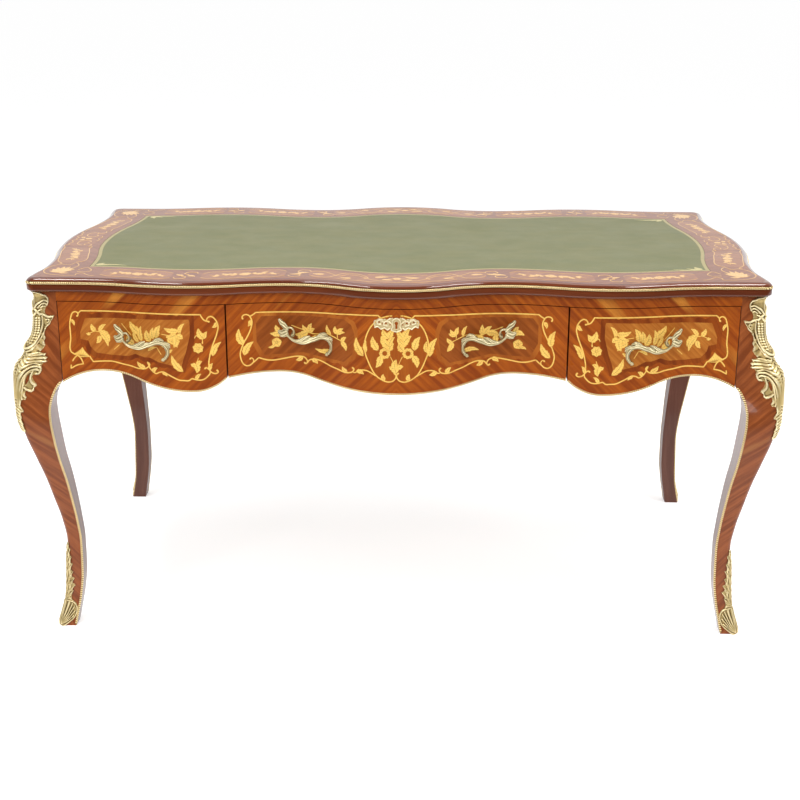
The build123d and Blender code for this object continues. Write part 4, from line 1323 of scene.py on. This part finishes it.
def cast_piece(name, relief, half_across, low, high, step, place, reach=3.0):
    """Casting modelled in relief; what lies outside its outline is cut away."""
    columns, rows = int(2 * half_across / step), int((high - low) / step)
    levels = []

    def lay(s, t):
        across = (2 * s - 1) * half_across
        z = low + t * (high - low)
        levels.append(relief(across, z))
        out = np.where(levels[0] < 0, -0.8, 0.2 + levels[0])
        return place(across, z, out), MM * np.stack([across, z], -1)

    piece = laid_grid(name, columns, rows, lay)
    level = levels[0]
    off = level < 0
    raised = standing_out(np.where(off, 0, level), columns + 1, round(reach / step))
    # brighter where the casting stands above its surroundings and darker in its hollows: painted
    # highlights and painted shade
    set_relief(piece, 0.53 + 0.33 * raised)
    near = off.reshape(-1, columns + 1).copy()
    for shift in (-1, 1):
        for axis in (0, 1):
            near |= np.roll(off.reshape(near.shape), shift, axis)
    for label, part in (("all", np.ones(len(off), bool)), ("rim", near.ravel())):
        piece.vertex_groups.new(name=label).add(np.nonzero(part)[0].tolist(), 1.0, "REPLACE")
    cut_away(piece, [all(off[i] for i in face.vertices) for face in piece.data.polygons])
    for group, rounds in (("all", 1), ("rim", 6)):
        smooth = piece.modifiers.new("soften", "SMOOTH")
        smooth.factor, smooth.iterations, smooth.vertex_group = 0.5, rounds, group
        bpy.ops.object.modifier_apply(modifier=smooth.name)
    piece.vertex_groups.clear()
    return rounded(piece, 70)


# ------------------------------------------------------------------ pulls and escutcheon
PULL_BOW = ((-28, 8, 52, 89), (5.5, 21.5, 21.5, 5.5))
# Bars and leaves of a pull: points, half widths, depths, ripple, its count and how far it is lifted.
PULL_BARS = (
    ("2,-6 7,-3 8,3 4,9 -3,9 -8,5 -8,-2 -3,-9 8,-16 27,-20 45,-14 60,-10 73,-14 "
     "81,-25 81,-36 75,-46",
     "1.6,2.0,2.4,2.8,3.4,4.4,5.2,4.6,4.2,3.4,3.4", "2.0,2.6,3.4,3.6,3.4", 0.2, 7, 0.5),
    ("-5,3 -12,12 -18,18 -23,25", "3.4,5.4,5.8,2.4", "2.2,3.2,3.0,1.2", 0.26, 6, 0.6),
    ("-4,8 -9,14 -12,20", "1.8,2.6,0.8", "1.6,2.0,0.6", 0.1, 4, 1.0),
    ("-4,-1 -12,-3 -19,-3 -25,1", "4.0,8.4,7.6,2.2", "2.2,3.4,2.8,1.0", 0.28, 8, 0.6),
    ("-6,-5 -14,-9 -21,-11", "2.4,3.2,1.0", "1.6,2.2,0.8", 0.1, 4, 0.6),
    ("10,-17 22,-15 33,-9 40,-6", "1.6,4.4,4.2,1.0", "1.6,3.0,2.6,0.8", 0.25, 8, 1.2),
    ("30,-17 42,-11 50,-10", "1.6,3.6,0.8", "1.6,2.6,0.8", 0.2, 6, 1.2),
    ("52,-12 60,-5 68,-4 75,-8", "1.4,3.8,4.0,1.0", "1.4,2.8,2.4,0.8", 0.25, 8, 1.0),
    ("66,-12 76,-13 84,-18 88,-26", "1.6,4.2,4.4,1.0", "1.4,2.8,2.4,0.8", 0.25, 8, 1.0),
    ("74,-44 72,-47 75,-49", "2.6,3.8,1.6", "2.6,3.6,1.6", 0.0, 4, 0.0),
)


def cast_bar(points, across, deep, ripple, ripples, lift):
    """Cast bar or leaf of a pull through (right, up) points, bowed out from the drawer."""
    line = smooth_line(path(points), 1.0)
    half, thick = (shared_out(path(sizes)[0], len(line)) for sizes in (across, deep))
    course = np.gradient(line, axis=0)
    course /= np.maximum(np.linalg.norm(course, axis=1), 1e-9)[:, None]
    side = np.stack([-course[:, 1], course[:, 0]], -1)
    high = []

    def place(s, t):
        i = np.rint(t * (len(line) - 1)).astype(int)
        angle = 2 * math.pi * s
        wave = 1 + ripple * np.cos(ripples * angle + 9 * t)
        wide = half[i] * np.cos(angle) * (1 + 0.3 * ripple * np.cos(9 * math.pi * t))
        plan = line[i] + side[i] * wide[:, None]
        out = np.interp(plan[:, 0], *PULL_BOW) + lift + thick[i] * np.sin(angle) * wave
        # brighter on the face turned out from the drawer and on ripple crests, darker behind: painted
        # highlight and painted shade
        high.append(0.12 + 0.62 * np.clip(np.sin(angle), 0, 1) + 1.9 * (wave - 1))
        return MM * np.stack([plan[:, 0], -out, plan[:, 1]], -1), MM * np.stack([10 * s, 100 * t], -1)

    piece = laid_grid("bar", 32, len(line) - 1, place)
    set_relief(piece, high[0])
    return closed(piece)


def make_pull(name, middle_x, middle_z, seat):
    """Scrolled pull: curl with two leaves, bowed bar with leafage and a hooked end."""
    pieces = [cast_bar(*bar) for bar in PULL_BARS]
    for right, up, reach in ((5, -6, 20), (79, -27, 8)):
        bpy.ops.object.select_all(action="DESELECT")
        middle = MM * Vector((right, -reach / 2, up))
        bpy.ops.mesh.primitive_cylinder_add(vertices=20, radius=3.6 * MM, depth=(reach + 1) * MM,
                                            location=middle, rotation=(math.pi / 2, 0, 0))
        stud = bpy.context.object
        bpy.ops.object.transform_apply()
        set_relief(stud, np.full(len(stud.data.vertices), 0.35))
        pieces.append(stud)
    pull = joined(name, pieces)
    pull.data.transform(Matrix.Translation((middle_x * MM, seat * MM, middle_z * MM)))
    return rounded(pull, 50)


def escutcheon_relief(u, up):
    """Relief of the pierced key plate, alike to both sides of the keyhole."""
    s = np.abs(u)
    upper = np.interp(s, *zip(*path("0,9 8,11 17,8 33,9 42,6 45,2")))
    lower = np.interp(s, *zip(*path("0,-14 6,-17 11,-12 18,-15 24,-10 31,-14 37,-8 43,-11 45,-3")))
    edge = 0.7 * np.sin(s * 0.9)
    shape = np.where((up < upper + edge) & (up > lower - edge) & (s < 45), 0.9, BARE)
    for points in ("7,-6 8,4 4,9 0,10", "8,-2 16,4 24,2 24,-4 18,-5", "24,2 32,6 38,3 36,-2 31,-2",
                   "7,-8 10,-13 4,-16 0,-17", "13,-10 18,-13 23,-9 30,-12 36,-7 42,-9", "12,10 18,6",
                   "27,7 34,8"):
        shape = np.maximum(shape, rib(s, up, path(points), 1.5, 2.2))
    for spot in path("20.5,0,2.0 34,2,1.6 12.5,-3,1.5 28,-1.5,1.4 41,1,1.2"):
        shape = np.where((s - spot[0]) ** 2 + (up - spot[1]) ** 2 < spot[2] ** 2, BARE, shape)
    return np.where(in_keyhole(u, up, 0.4), BARE, shape)


def in_keyhole(u, up, grow):
    """Whether places lie in the keyhole, by their height over the middle of its round part."""
    ring = u**2 + up**2 < (KEYHOLE_R + grow) ** 2
    slot = (np.abs(u) < KEYHOLE_R / 2 + grow) & (up < 0) & (up > -KEYHOLE_LONG - grow)
    return ring | slot


def cut_keyhole(skin):
    """Opens the show veneer over the keyhole."""
    middles = np.array([face.center for face in skin.data.polygons]) / MM
    cut_away(skin, in_keyhole(middles[:, 0], middles[:, 2] - KEYHOLE_Z, 1.2))


# ------------------------------------------------------------------ the desk, piece by piece
def dress_side_fronts():
    """Left drawer front, and its echoes on the right and at the back."""
    raised = OUTER_APRON + (0, STRIP)
    skin = thickened(skin_piece("left_drawer_veneer", FRONT, raised, DRAWER_Z), SKIN)
    upper = path("-640,657 -628,687 -573,689 -503,690 -414,692 -413,688")
    lower = path("""-640,643 -624,640 -621,628 -609,615 -579,612 -544,611 -527,617 -508,611
        -497,611 -479,602 -433,592 -429,608 -422,626 -413,660""")
    surround = field_piece("left_drawer_surround", FRONT, upper, lower, out=0.05, spread_by=9)
    field = field_piece("left_drawer_field", FRONT, upper, lower)
    inlay = Inlay(FRONT)
    draw_side_drawer(inlay)
    inlay = inlay.piece("left_drawer_marquetry")
    strip = strip_piece("left_drawer_strip", FRONT, OUTER_APRON)
    pull = make_pull("left_drawer_scroll_pull", -541, 656, -403)
    parts = (
        (skin, "veneer", KINGWOOD, "kingwood_veneer"),
        (surround, "surround", SURROUND, "kingwood_veneer"),
        (field, "field", FIELD_WOOD, "kingwood_veneer"),
        (inlay, "marquetry", BOXWOOD, "kingwood_veneer"),
        (strip, "strip", GILT_STRIP, "gilt_brass"), (pull, "scroll_pull", PALE_METAL, "pull_metal"),
    )
    back = {"strip": [], "scroll_pull": []}
    for piece, part, material, slot in parts:
        rounded(piece, 50)
        right = echo(piece, f"right_drawer_{part}", flip_x=True)
        behind = [echo(piece, f"back_left_{part}", flip_y=True)]
        behind.append(echo(piece, f"back_right_{part}", True, True))
        for made, body in ((piece, "left_drawer"), (right, "right_drawer")):
            nodes = {"strip": (f"{body}_edge_strip",), "scroll_pull": (f"{body}_pull",)}.get(part, ())
            fit(made, body, material, slot, *nodes)
        if part in back:
            back[part] += behind
        else:
            for made in behind:
                fit(made, "frame", material, slot)
    return back


def even_fields(name, surface, scale=(1, 1), shift=(0, 0)):
    """Paler fields with clouded surrounds to both sides of a medallion's ground."""

    def lay(line):
        return [(u * scale[0] + shift[0], v * scale[1] + shift[1]) for u, v in line]

    upper = lay(path("84,666 90,684 104,694 200,695 272,694 283,680"))
    lower = lay(path("84,652 88,624 106,606 150,611 190,619 230,615 268,613 283,642"))
    right = [(field_piece(f"{name}_right_surround", surface, upper, lower, 0.05, 7), CLOUDED)]
    right.append((field_piece(f"{name}_right_field", surface, upper, lower), DEEP_FIELD))
    flips = (True, False) if surface is FRONT else (False, True)
    left = [(echo(piece, piece.name.replace("right_", "left_"), *flips), finish)
            for piece, finish in right]
    half_top = path("0,706 27,703 40,695 52,681 60,663 62,648")
    half_low = path("0,588 8,574 17,573 29,577 41,586 50,600 57,616 62,631 62,647")
    both = [lay([(-u, v) for u, v in half[::-1]] + half[1:]) for half in (half_top, half_low)]
    ground = field_piece(f"{name}_medallion", surface, *both, out=0.06)
    return [*right, *left, (ground, MEDALLION)]


def dress_center_front(back):
    """Centre drawer front with its key plate, and its echo at the back."""
    raised = CENTER_APRON + (0, STRIP)
    for name, body, flip in (("center_drawer", "center_drawer", False), ("back_center", "frame", True)):
        skin = skin_piece(f"{name}_veneer", FRONT, raised, DRAWER_Z)
        if not flip:
            in_edit(skin, lambda: bpy.ops.mesh.subdivide(number_cuts=1))
            cut_keyhole(skin)
        inlay = Inlay(FRONT)
        draw_even_front(inlay, locked=not flip)
        strip = strip_piece(f"{name}_strip", FRONT, CENTER_APRON)
        pulls = [make_pull(f"{name}_left_scroll_pull", -213, 666, -388)]
        pulls.append(echo(pulls[0], f"{name}_right_scroll_pull", flip_x=True))
        pieces = [(thickened(skin, SKIN), KINGWOOD), (inlay.piece(f"{name}_marquetry"), BOXWOOD)]
        pieces += even_fields(name, FRONT)
        if flip:
            for piece in (*(piece for piece, _ in pieces), strip, *pulls):
                piece.data.transform(Matrix.Diagonal((1, -1, 1, 1)))
                in_edit(piece, bpy.ops.mesh.flip_normals)
            back["strip"].append(strip)
            back["scroll_pull"] += pulls
        else:
            fit(strip, body, GILT_STRIP, "gilt_brass", "center_drawer_edge_strip")
            fit(pulls[0], body, PALE_METAL, "pull_metal", "center_drawer_left_pull")
            fit(pulls[1], body, PALE_METAL, "pull_metal", "center_drawer_right_pull")
        for piece, material in pieces:
            fit(rounded(piece, 50), body, material, "kingwood_veneer")

    def on_front(u, v, out):
        return FRONT(u, v + KEYHOLE_Z, SKIN + out)

    plate = cast_piece("key_plate", escutcheon_relief, 47, -21, 16, 0.45, on_front)
    fit(plate, "center_drawer", PLATE_METAL, "pull_metal", "escutcheon")


# The centre drawer's marquetry, as it is drawn on a flank.
FLANK_SCALE, FLANK_SHIFT = (1.0, 0.96), (0, 26)


def dress_flanks(back):
    """Veneer and marquetry of the two ends, and the strips of the fixed aprons."""
    raised = FLANK_APRON + (0, STRIP)
    skin = rounded(thickened(skin_piece("right_flank_veneer", RIGHT, raised, FRIEZE_Z), SKIN), 50)
    inlay = Inlay(RIGHT, scale=FLANK_SCALE, shift=FLANK_SHIFT)
    draw_even_front(inlay, locked=False)
    inlay = inlay.piece("right_flank_marquetry")
    strip = strip_piece("right_flank_strip", RIGHT, FLANK_APRON)
    pieces = [(skin, KINGWOOD), (inlay, BOXWOOD)]
    pieces += even_fields("right_flank", RIGHT, FLANK_SCALE, FLANK_SHIFT)
    for piece, material in pieces:
        left = echo(piece, "far_" + piece.name, flip_x=True)
        for made in (piece, left):
            fit(made, "frame", material, "kingwood_veneer")
    back["strip"] += [strip, echo(strip, "left_flank_strip", flip_x=True)]
    strips = joined("carcass_strips", back["strip"])
    fit(strips, "frame", GILT_STRIP, "gilt_brass", "carcass_edge_strips")
    pulls = joined("back_scroll_pulls", back["scroll_pull"])
    fit(pulls, "frame", PALE_METAL, "pull_metal", "back_pulls")


def dress_rails():
    """Striped veneer on the rail above the drawers, front and back."""
    level = np.array([(-POST_X, RAIL_Z), (POST_X, RAIL_Z)], float)
    rail = skin_piece("front_rail_veneer", FRONT, level, FRIEZE_Z)
    rail = rounded(thickened(rail, SKIN), 50)
    for made in (rail, echo(rail, "back_rail_veneer", flip_y=True)):
        fit(made, "frame", KINGWOOD, "kingwood_veneer")


def dress_legs():
    """Four legs with their strips, corner mounts and foot mounts."""
    leg, beads = make_leg(), make_leg_beads()
    mount = cast_piece("front_left_corner_mount", corner_mount_relief, 50, 452, 742, 0.7, corner_place)
    sabot = cast_piece("front_left_sabot", sabot_relief, 32, 0, 190, 0.7, corner_place, reach=2.0)
    mounts, sabots = [], []
    firsts = ((leg, "leg_veneered"), (beads, "leg_beads"), (mount, "corner_mount"), (sabot, "sabot"))
    corners = (("front_left", 0, 0), ("front_right", 1, 0), ("back_left", 0, 1), ("back_right", 1, 1))
    for corner, flip_x, flip_y in corners:
        pieces = [piece for piece, _ in firsts]
        if flip_x or flip_y:
            pieces = [echo(piece, f"{corner}_{part}", flip_x, flip_y) for piece, part in firsts]
        if flip_y:
            pieces[0].data.materials[1] = LEG_BEHIND
        fit(pieces[0], "frame", None, "kingwood_veneer", f"{corner}_leg")
        fit(pieces[1], "frame", GILT_STRIP, "gilt_brass")
        mounts.append(pieces[2])
        sabots.append(pieces[3])
    for group, gilding, node_name in ((mounts, GILT, "corner_mounts"), (sabots, GILT_FOOT, "sabots")):
        for piece in group:
            fit(piece, "frame", gilding, "gilt_brass", node_name)


def draw_spray(inlay, start, end, middle, lean=1):
    """Running spray of leaves and a flower along the middle of a border panel."""
    steps = np.linspace(start, end, 9)
    stem = [(u, middle + 4 * lean * math.sin(1.9 * i)) for i, u in enumerate(steps)]
    inlay.line(stem, 1.4)
    for i, (u, v) in enumerate(stem[1:-1]):
        rise = 11 * (-1) ** i * lean
        reach = 11 if u < (start + end) / 2 else -11
        inlay.leaf((u, v), (u - reach, v + rise), 4.4)
        inlay.leaf((u, v), (u - 0.4 * reach, v - 0.9 * rise), 3.6)
    inlay.flower(((start + end) / 2, middle), 12, petals=7)
    inlay.flower((0.72 * start + 0.28 * end, middle + 3), 7, petals=5)
    inlay.flower((0.28 * start + 0.72 * end, middle - 3), 7, petals=5)


def draw_long_border(inlay):
    """Two panels with sprays to each side of a strapwork middle, along a long side."""
    for side in (1, -1):
        at = sided(side)
        for start, end in ((598, 452), (392, 226)):
            inlay.line(at([(start, 40), (start - 14, 30), (start - 40, 27),
                           (end + 30, 27), (end + 12, 30), (end, 38)]), 1.5)
            inlay.line(at([(start, 78), (start - 16, 88), (start - 44, 91),
                           (end + 30, 91), (end + 10, 86), (end, 78)]), 1.5)
            draw_spray(inlay, *(side * u for u in (start - 16, end + 12)), 59, side)
        for middle, turn in ((424, 1), (198, -1)):
            for curl in ("22,42 16,30 2,32 -2,46 8,54", "-22,76 -18,88 -2,88 4,74 -6,66"):
                inlay.line(at([(middle + u, v) for u, v in path(curl)]), 2.2, knob=2.4)
            inlay.leaf(*at([(middle + 4, 60), (middle + 20 * turn, 68)]), 5)
            inlay.leaf(*at([(middle - 4, 58), (middle - 20 * turn, 50)]), 5)
        inlay.line(at("176,80 150,84 134,70 116,56 98,76 74,72 52,50 34,44 16,60 0,64"), 1.8)
        inlay.line(at("176,44 160,34 138,38 128,52 108,84 84,90 66,78 58,60 66,52"), 1.8, knob=2.0)
        inlay.line(at("120,34 100,30 72,34 48,28 24,34 0,30"), 1.8)
        inlay.line(at("60,90 40,94 20,84 0,90"), 1.8)
        inlay.leaf(*at("148,62 172,60"), 6)
        inlay.leaf(*at("92,50 114,44"), 5)
        inlay.leaf(*at("44,68 16,76"), 6)
        inlay.leaf(*at("30,52 8,48"), 5)
    inlay.flower((0, 62), 9, petals=6)


def draw_short_border(inlay):
    """A panel with a spray to each side of paired scrolls, along a short side."""
    for side in (1, -1):
        at = sided(side)
        inlay.line(at("262,34 238,20 200,16 150,14 100,18 80,14 66,24 56,20"), 1.8)
        inlay.line(at("250,64 240,78 218,84 180,82 140,82 112,80 90,84 88,74"), 1.8)
        draw_spray(inlay, side * 232, side * 108, 50, side)
        inlay.line(at("88,74 72,80 58,72 60,62 70,62"), 2.0, knob=2.2)
        inlay.line(at("74,56 62,44 40,42 24,52 22,66 34,72 44,66"), 2.0, knob=2.2)
        inlay.line(at("56,22 40,28 24,22 10,30 0,26"), 1.8)
        inlay.line(at("30,84 14,88 0,82"), 1.8)
        inlay.leaf(*at("20,40 4,46"), 5)
    inlay.flower((0, 58), 9, petals=6)


def draw_panels(inlay, *panels):
    """Paler veneer of border panels, given by their ends, their middle line and half width."""
    for start, end, middle, half in panels:
        u = np.linspace(start, end, max(6, int(abs(end - start) / 8)))
        ends = np.minimum(np.abs(u - start), np.abs(u - end)) / 14
        wide = half * np.clip(0.55 + 0.45 * np.sqrt(np.clip(ends, 0, 1)), 0, 1)
        for side in (1, -1):
            line = np.stack([side * u, np.full(len(u), middle)], -1)
            inlay.ribbon(line, wide, pattern=(-half * MM, 0, half * MM))


def draw_corner(inlay):
    """Shell in a scrolled cartouche in a corner of the top."""
    inlay.line(path("""606,-378 620,-371 636,-352 646,-360 648,-374 672,-374 704,-362 718,-340
        720,-315 713,-288 700,-270 708,-262"""), 1.9)
    inlay.line(path("652,-322 640,-302 629,-314 624,-330 634,-342 650,-338"), 1.7, knob=1.8)
    inlay.line(path("664,-304 661,-280 672,-258 682,-276 700,-270"), 1.7)
    for tip in path("660,-318 664,-304 674,-296 686,-296 697,-304 704,-318"):
        inlay.petal((688, -350), tip, 6)
    inlay.leaf((684, -350), (664, -352), 4.5)
    inlay.leaf((692, -348), (708, -336), 4.5)


FLUSH = 0.05  # height of the border's marquetry over the top


def level_at(z):
    """Level surface at a height."""
    return lambda x, y, out: MM * np.stack(spread(x, y, z + out), -1)


def top_inlay(surface, proud=0.12):
    """Inlay of the top, in thin layers."""
    return Inlay(surface, proud, layer_step=0.004)


def dress_top():
    """Top board, bead, leather with its gilt border, and the marquetry of the border."""
    make_top()
    make_top_bead()
    make_leather()
    long_panels = path("598,452,59,31 392,226,59,31 178,0,60,34")
    short_panels = ((258, 92, 50, 33), (84, 0, 54, 30))
    for name, far, surface, draw, flip_x, flip_y, panels in (
        ("front", "back", TOP_FRONT, draw_long_border, 0, 1, long_panels),
        ("right", "left", TOP_RIGHT, draw_short_border, 1, 0, short_panels),
    ):

        def flush(u, v, out, surface=surface):
            return surface(u, v, out - SKIN + FLUSH)

        ground, drawing = top_inlay(flush, 0.0), top_inlay(flush)
        draw_panels(ground, *panels)
        draw(drawing)
        for inlay, part, finish in ((ground, "panels", TOP_PANEL), (drawing, "marquetry", TOP_BOXWOOD)):
            piece = inlay.piece(f"top_{name}_{part}")
            other = echo(piece, f"top_{far}_{part}", flip_x, flip_y)
            for made in (piece, other):
                fit(made, "frame", finish, "kingwood_veneer")
    inlay = top_inlay(level_at(TOP_Z - SKIN + FLUSH))
    draw_corner(inlay)
    shell = inlay.piece("top_front_right_shell")
    others = (("front_left", 1, 0), ("back_right", 0, 1), ("back_left", 1, 1))
    for piece in (shell, *[echo(shell, f"top_{name}_shell", fx, fy) for name, fx, fy in others]):
        fit(piece, "frame", TOP_BOXWOOD, "kingwood_veneer")
    band = closed_band("leather_tooling", (leather_line(-0.8), leather_line(-8.2)), TOP_Z - 0.06)
    fit(band, "frame", TOOLING, "green_leather")
    sprig = top_inlay(level_at(TOP_Z - SKIN - 0.03), 0.05)
    for x, y in ((1, 1), (-1, 1), (-1, -1), (1, -1)):
        base = (x * (LEATHER_X - 14), y * (LEATHER_Y - 13))
        for reach, rise, half in ((62, 0, 3.0), (32, 8, 4.2), (12, 22, 5.5)):
            sprig.leaf(base, (base[0] - x * reach, base[1] - y * rise), half, teeth=3)
    tips = sprig.piece("leather_corner_sprigs")
    fit(tips, "frame", TOOLED_LEAF, "green_leather")


def closed_band(name, loops, z):
    """Flat band between two outlines, its pattern running along it."""
    outer, inner = (np.vstack([loop, loop[:1]]) for loop in loops)
    length = np.concatenate([[0], np.cumsum(np.linalg.norm(np.diff(outer, axis=0), axis=1))]) * MM
    count = len(outer)
    points = MM * np.vstack([np.column_stack([line, np.full(count, z)]) for line in (outer, inner)])
    marks = np.vstack([np.stack([np.full(count, side), length], -1) for side in (0.0, 1.0)])
    faces = [(i, i + 1, count + i + 1, count + i) for i in range(count - 1)]
    return thickened(sheet_piece(name, points, faces, marks), 0.1)


def dress_inside():
    """Materials of the frame and drawer parts that keep their own shapes."""
    for name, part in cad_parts.items():
        if part.hide_render:
            continue
        along_y = any(word in name for word in ("side", "runner", "kicker", "partition"))
        finish = WOOD_Y if along_y else WOOD_X
        if any(word in name for word in ("flank", "rail", "dummy_front", "drawer_front")):
            finish = DARK_X
        finish = {"lock_case": LOCK_METAL, "lock_bolt": STEEL}.get(name, finish)
        part.data.materials.clear()
        part.data.materials.append(finish)


# ------------------------------------------------------------------ setting
CAMERA_TURN = (-1.3706, 17.9357, -0.1098)  # to the left, down and over, in degrees
CAMERA_PLACE = (0.0696, -3.0315, 1.376)
CAMERA_LENS = 61.35
LAMPS = (  # place, aim, size in metres and watts
    ("front_softbox", (-1.6, -3.2, 2.6), (0, 0, 0.5), (2.2, 1.6), 60),
    ("right_softbox", (2.8, -1.8, 2.2), (0, 0, 0.5), (1.4, 1.8), 28),
    ("over_softbox", (0, 0.6, 3.4), (0, 0, 0.6), (2.6, 1.8), 26),
    ("left_strip", (-1.15, -0.8, 3.0), (-0.6, -0.43, 0.77), (1.1, 0.2), 24),
    ("right_strip", (1.25, -0.8, 3.0), (0.6, -0.43, 0.77), (1.1, 0.2), 24),
)


def set_camera():
    """Camera a little above the desk and in front of it."""
    yaw, pitch, roll = (math.radians(angle) for angle in CAMERA_TURN)
    ahead = Vector((math.sin(yaw) * math.cos(pitch), math.cos(yaw) * math.cos(pitch), -math.sin(pitch)))
    right = Vector((math.cos(yaw), -math.sin(yaw), 0))
    down = ahead.cross(right)
    turned_right = math.cos(roll) * right + math.sin(roll) * down
    turned_down = math.cos(roll) * down - math.sin(roll) * right
    axes = Matrix((turned_right, -turned_down, -ahead)).transposed().to_4x4()
    data = bpy.data.cameras.new("camera")
    data.sensor_width, data.lens, data.clip_end = 36, CAMERA_LENS, 200
    camera = bpy.data.objects.new("camera", data)
    camera.matrix_world = Matrix.Translation(CAMERA_PLACE) @ axes
    bpy.context.scene.collection.objects.link(camera)
    bpy.context.scene.camera = camera


def add_softbox(name, place, aim, size, power):
    data = bpy.data.lights.new(name, "AREA")
    data.shape, data.size, data.size_y, data.energy = "RECTANGLE", *size, power
    lamp = bpy.data.objects.new(name, data)
    lamp.location = place
    lamp.rotation_euler = (Vector(aim) - Vector(place)).to_track_quat("-Z", "Y").to_euler()
    bpy.context.scene.collection.objects.link(lamp)


def set_studio():
    """White floor and surroundings, and large soft lamps."""
    bpy.ops.object.select_all(action="DESELECT")
    bpy.ops.mesh.primitive_grid_add(x_subdivisions=4, y_subdivisions=4, size=160)
    floor = bpy.context.object
    floor.name = "studio_floor"
    floor.data.materials.append(pale_floor())
    world = bpy.data.worlds.new("studio")
    world.use_nodes = True
    tree = world.node_tree
    seen = node(tree, "LightPath").outputs
    behind = node(tree, "SeparateXYZ", {0: node(tree, "TexCoord").outputs["Generated"]}).outputs[1]
    room = plus(tree, 0.16, times(tree, ramp_of(tree, behind, -0.35, 0.55), 0.84))
    around = times(tree, minus(tree, 1.0, plain_rays(tree, seen)), 0.55)
    mirrored = times(tree, seen["Is Glossy Ray"], room)
    clear = most(tree, seen["Is Camera Ray"], seen["Is Transmission Ray"])
    strength = plus(tree, around, most(tree, clear, mirrored))
    tree.links.new(strength, tree.nodes["Background"].inputs["Strength"])
    tree.nodes["Background"].inputs["Color"].default_value = (1, 1, 1, 1)
    bpy.context.scene.world = world
    for lamp in LAMPS:
        add_softbox(*lamp)
    bpy.context.scene.view_settings.view_transform = "Standard"


set_camera()
set_studio()
dress_top()
behind = dress_side_fronts()
dress_center_front(behind)
dress_flanks(behind)
dress_rails()
dress_legs()
dress_inside()
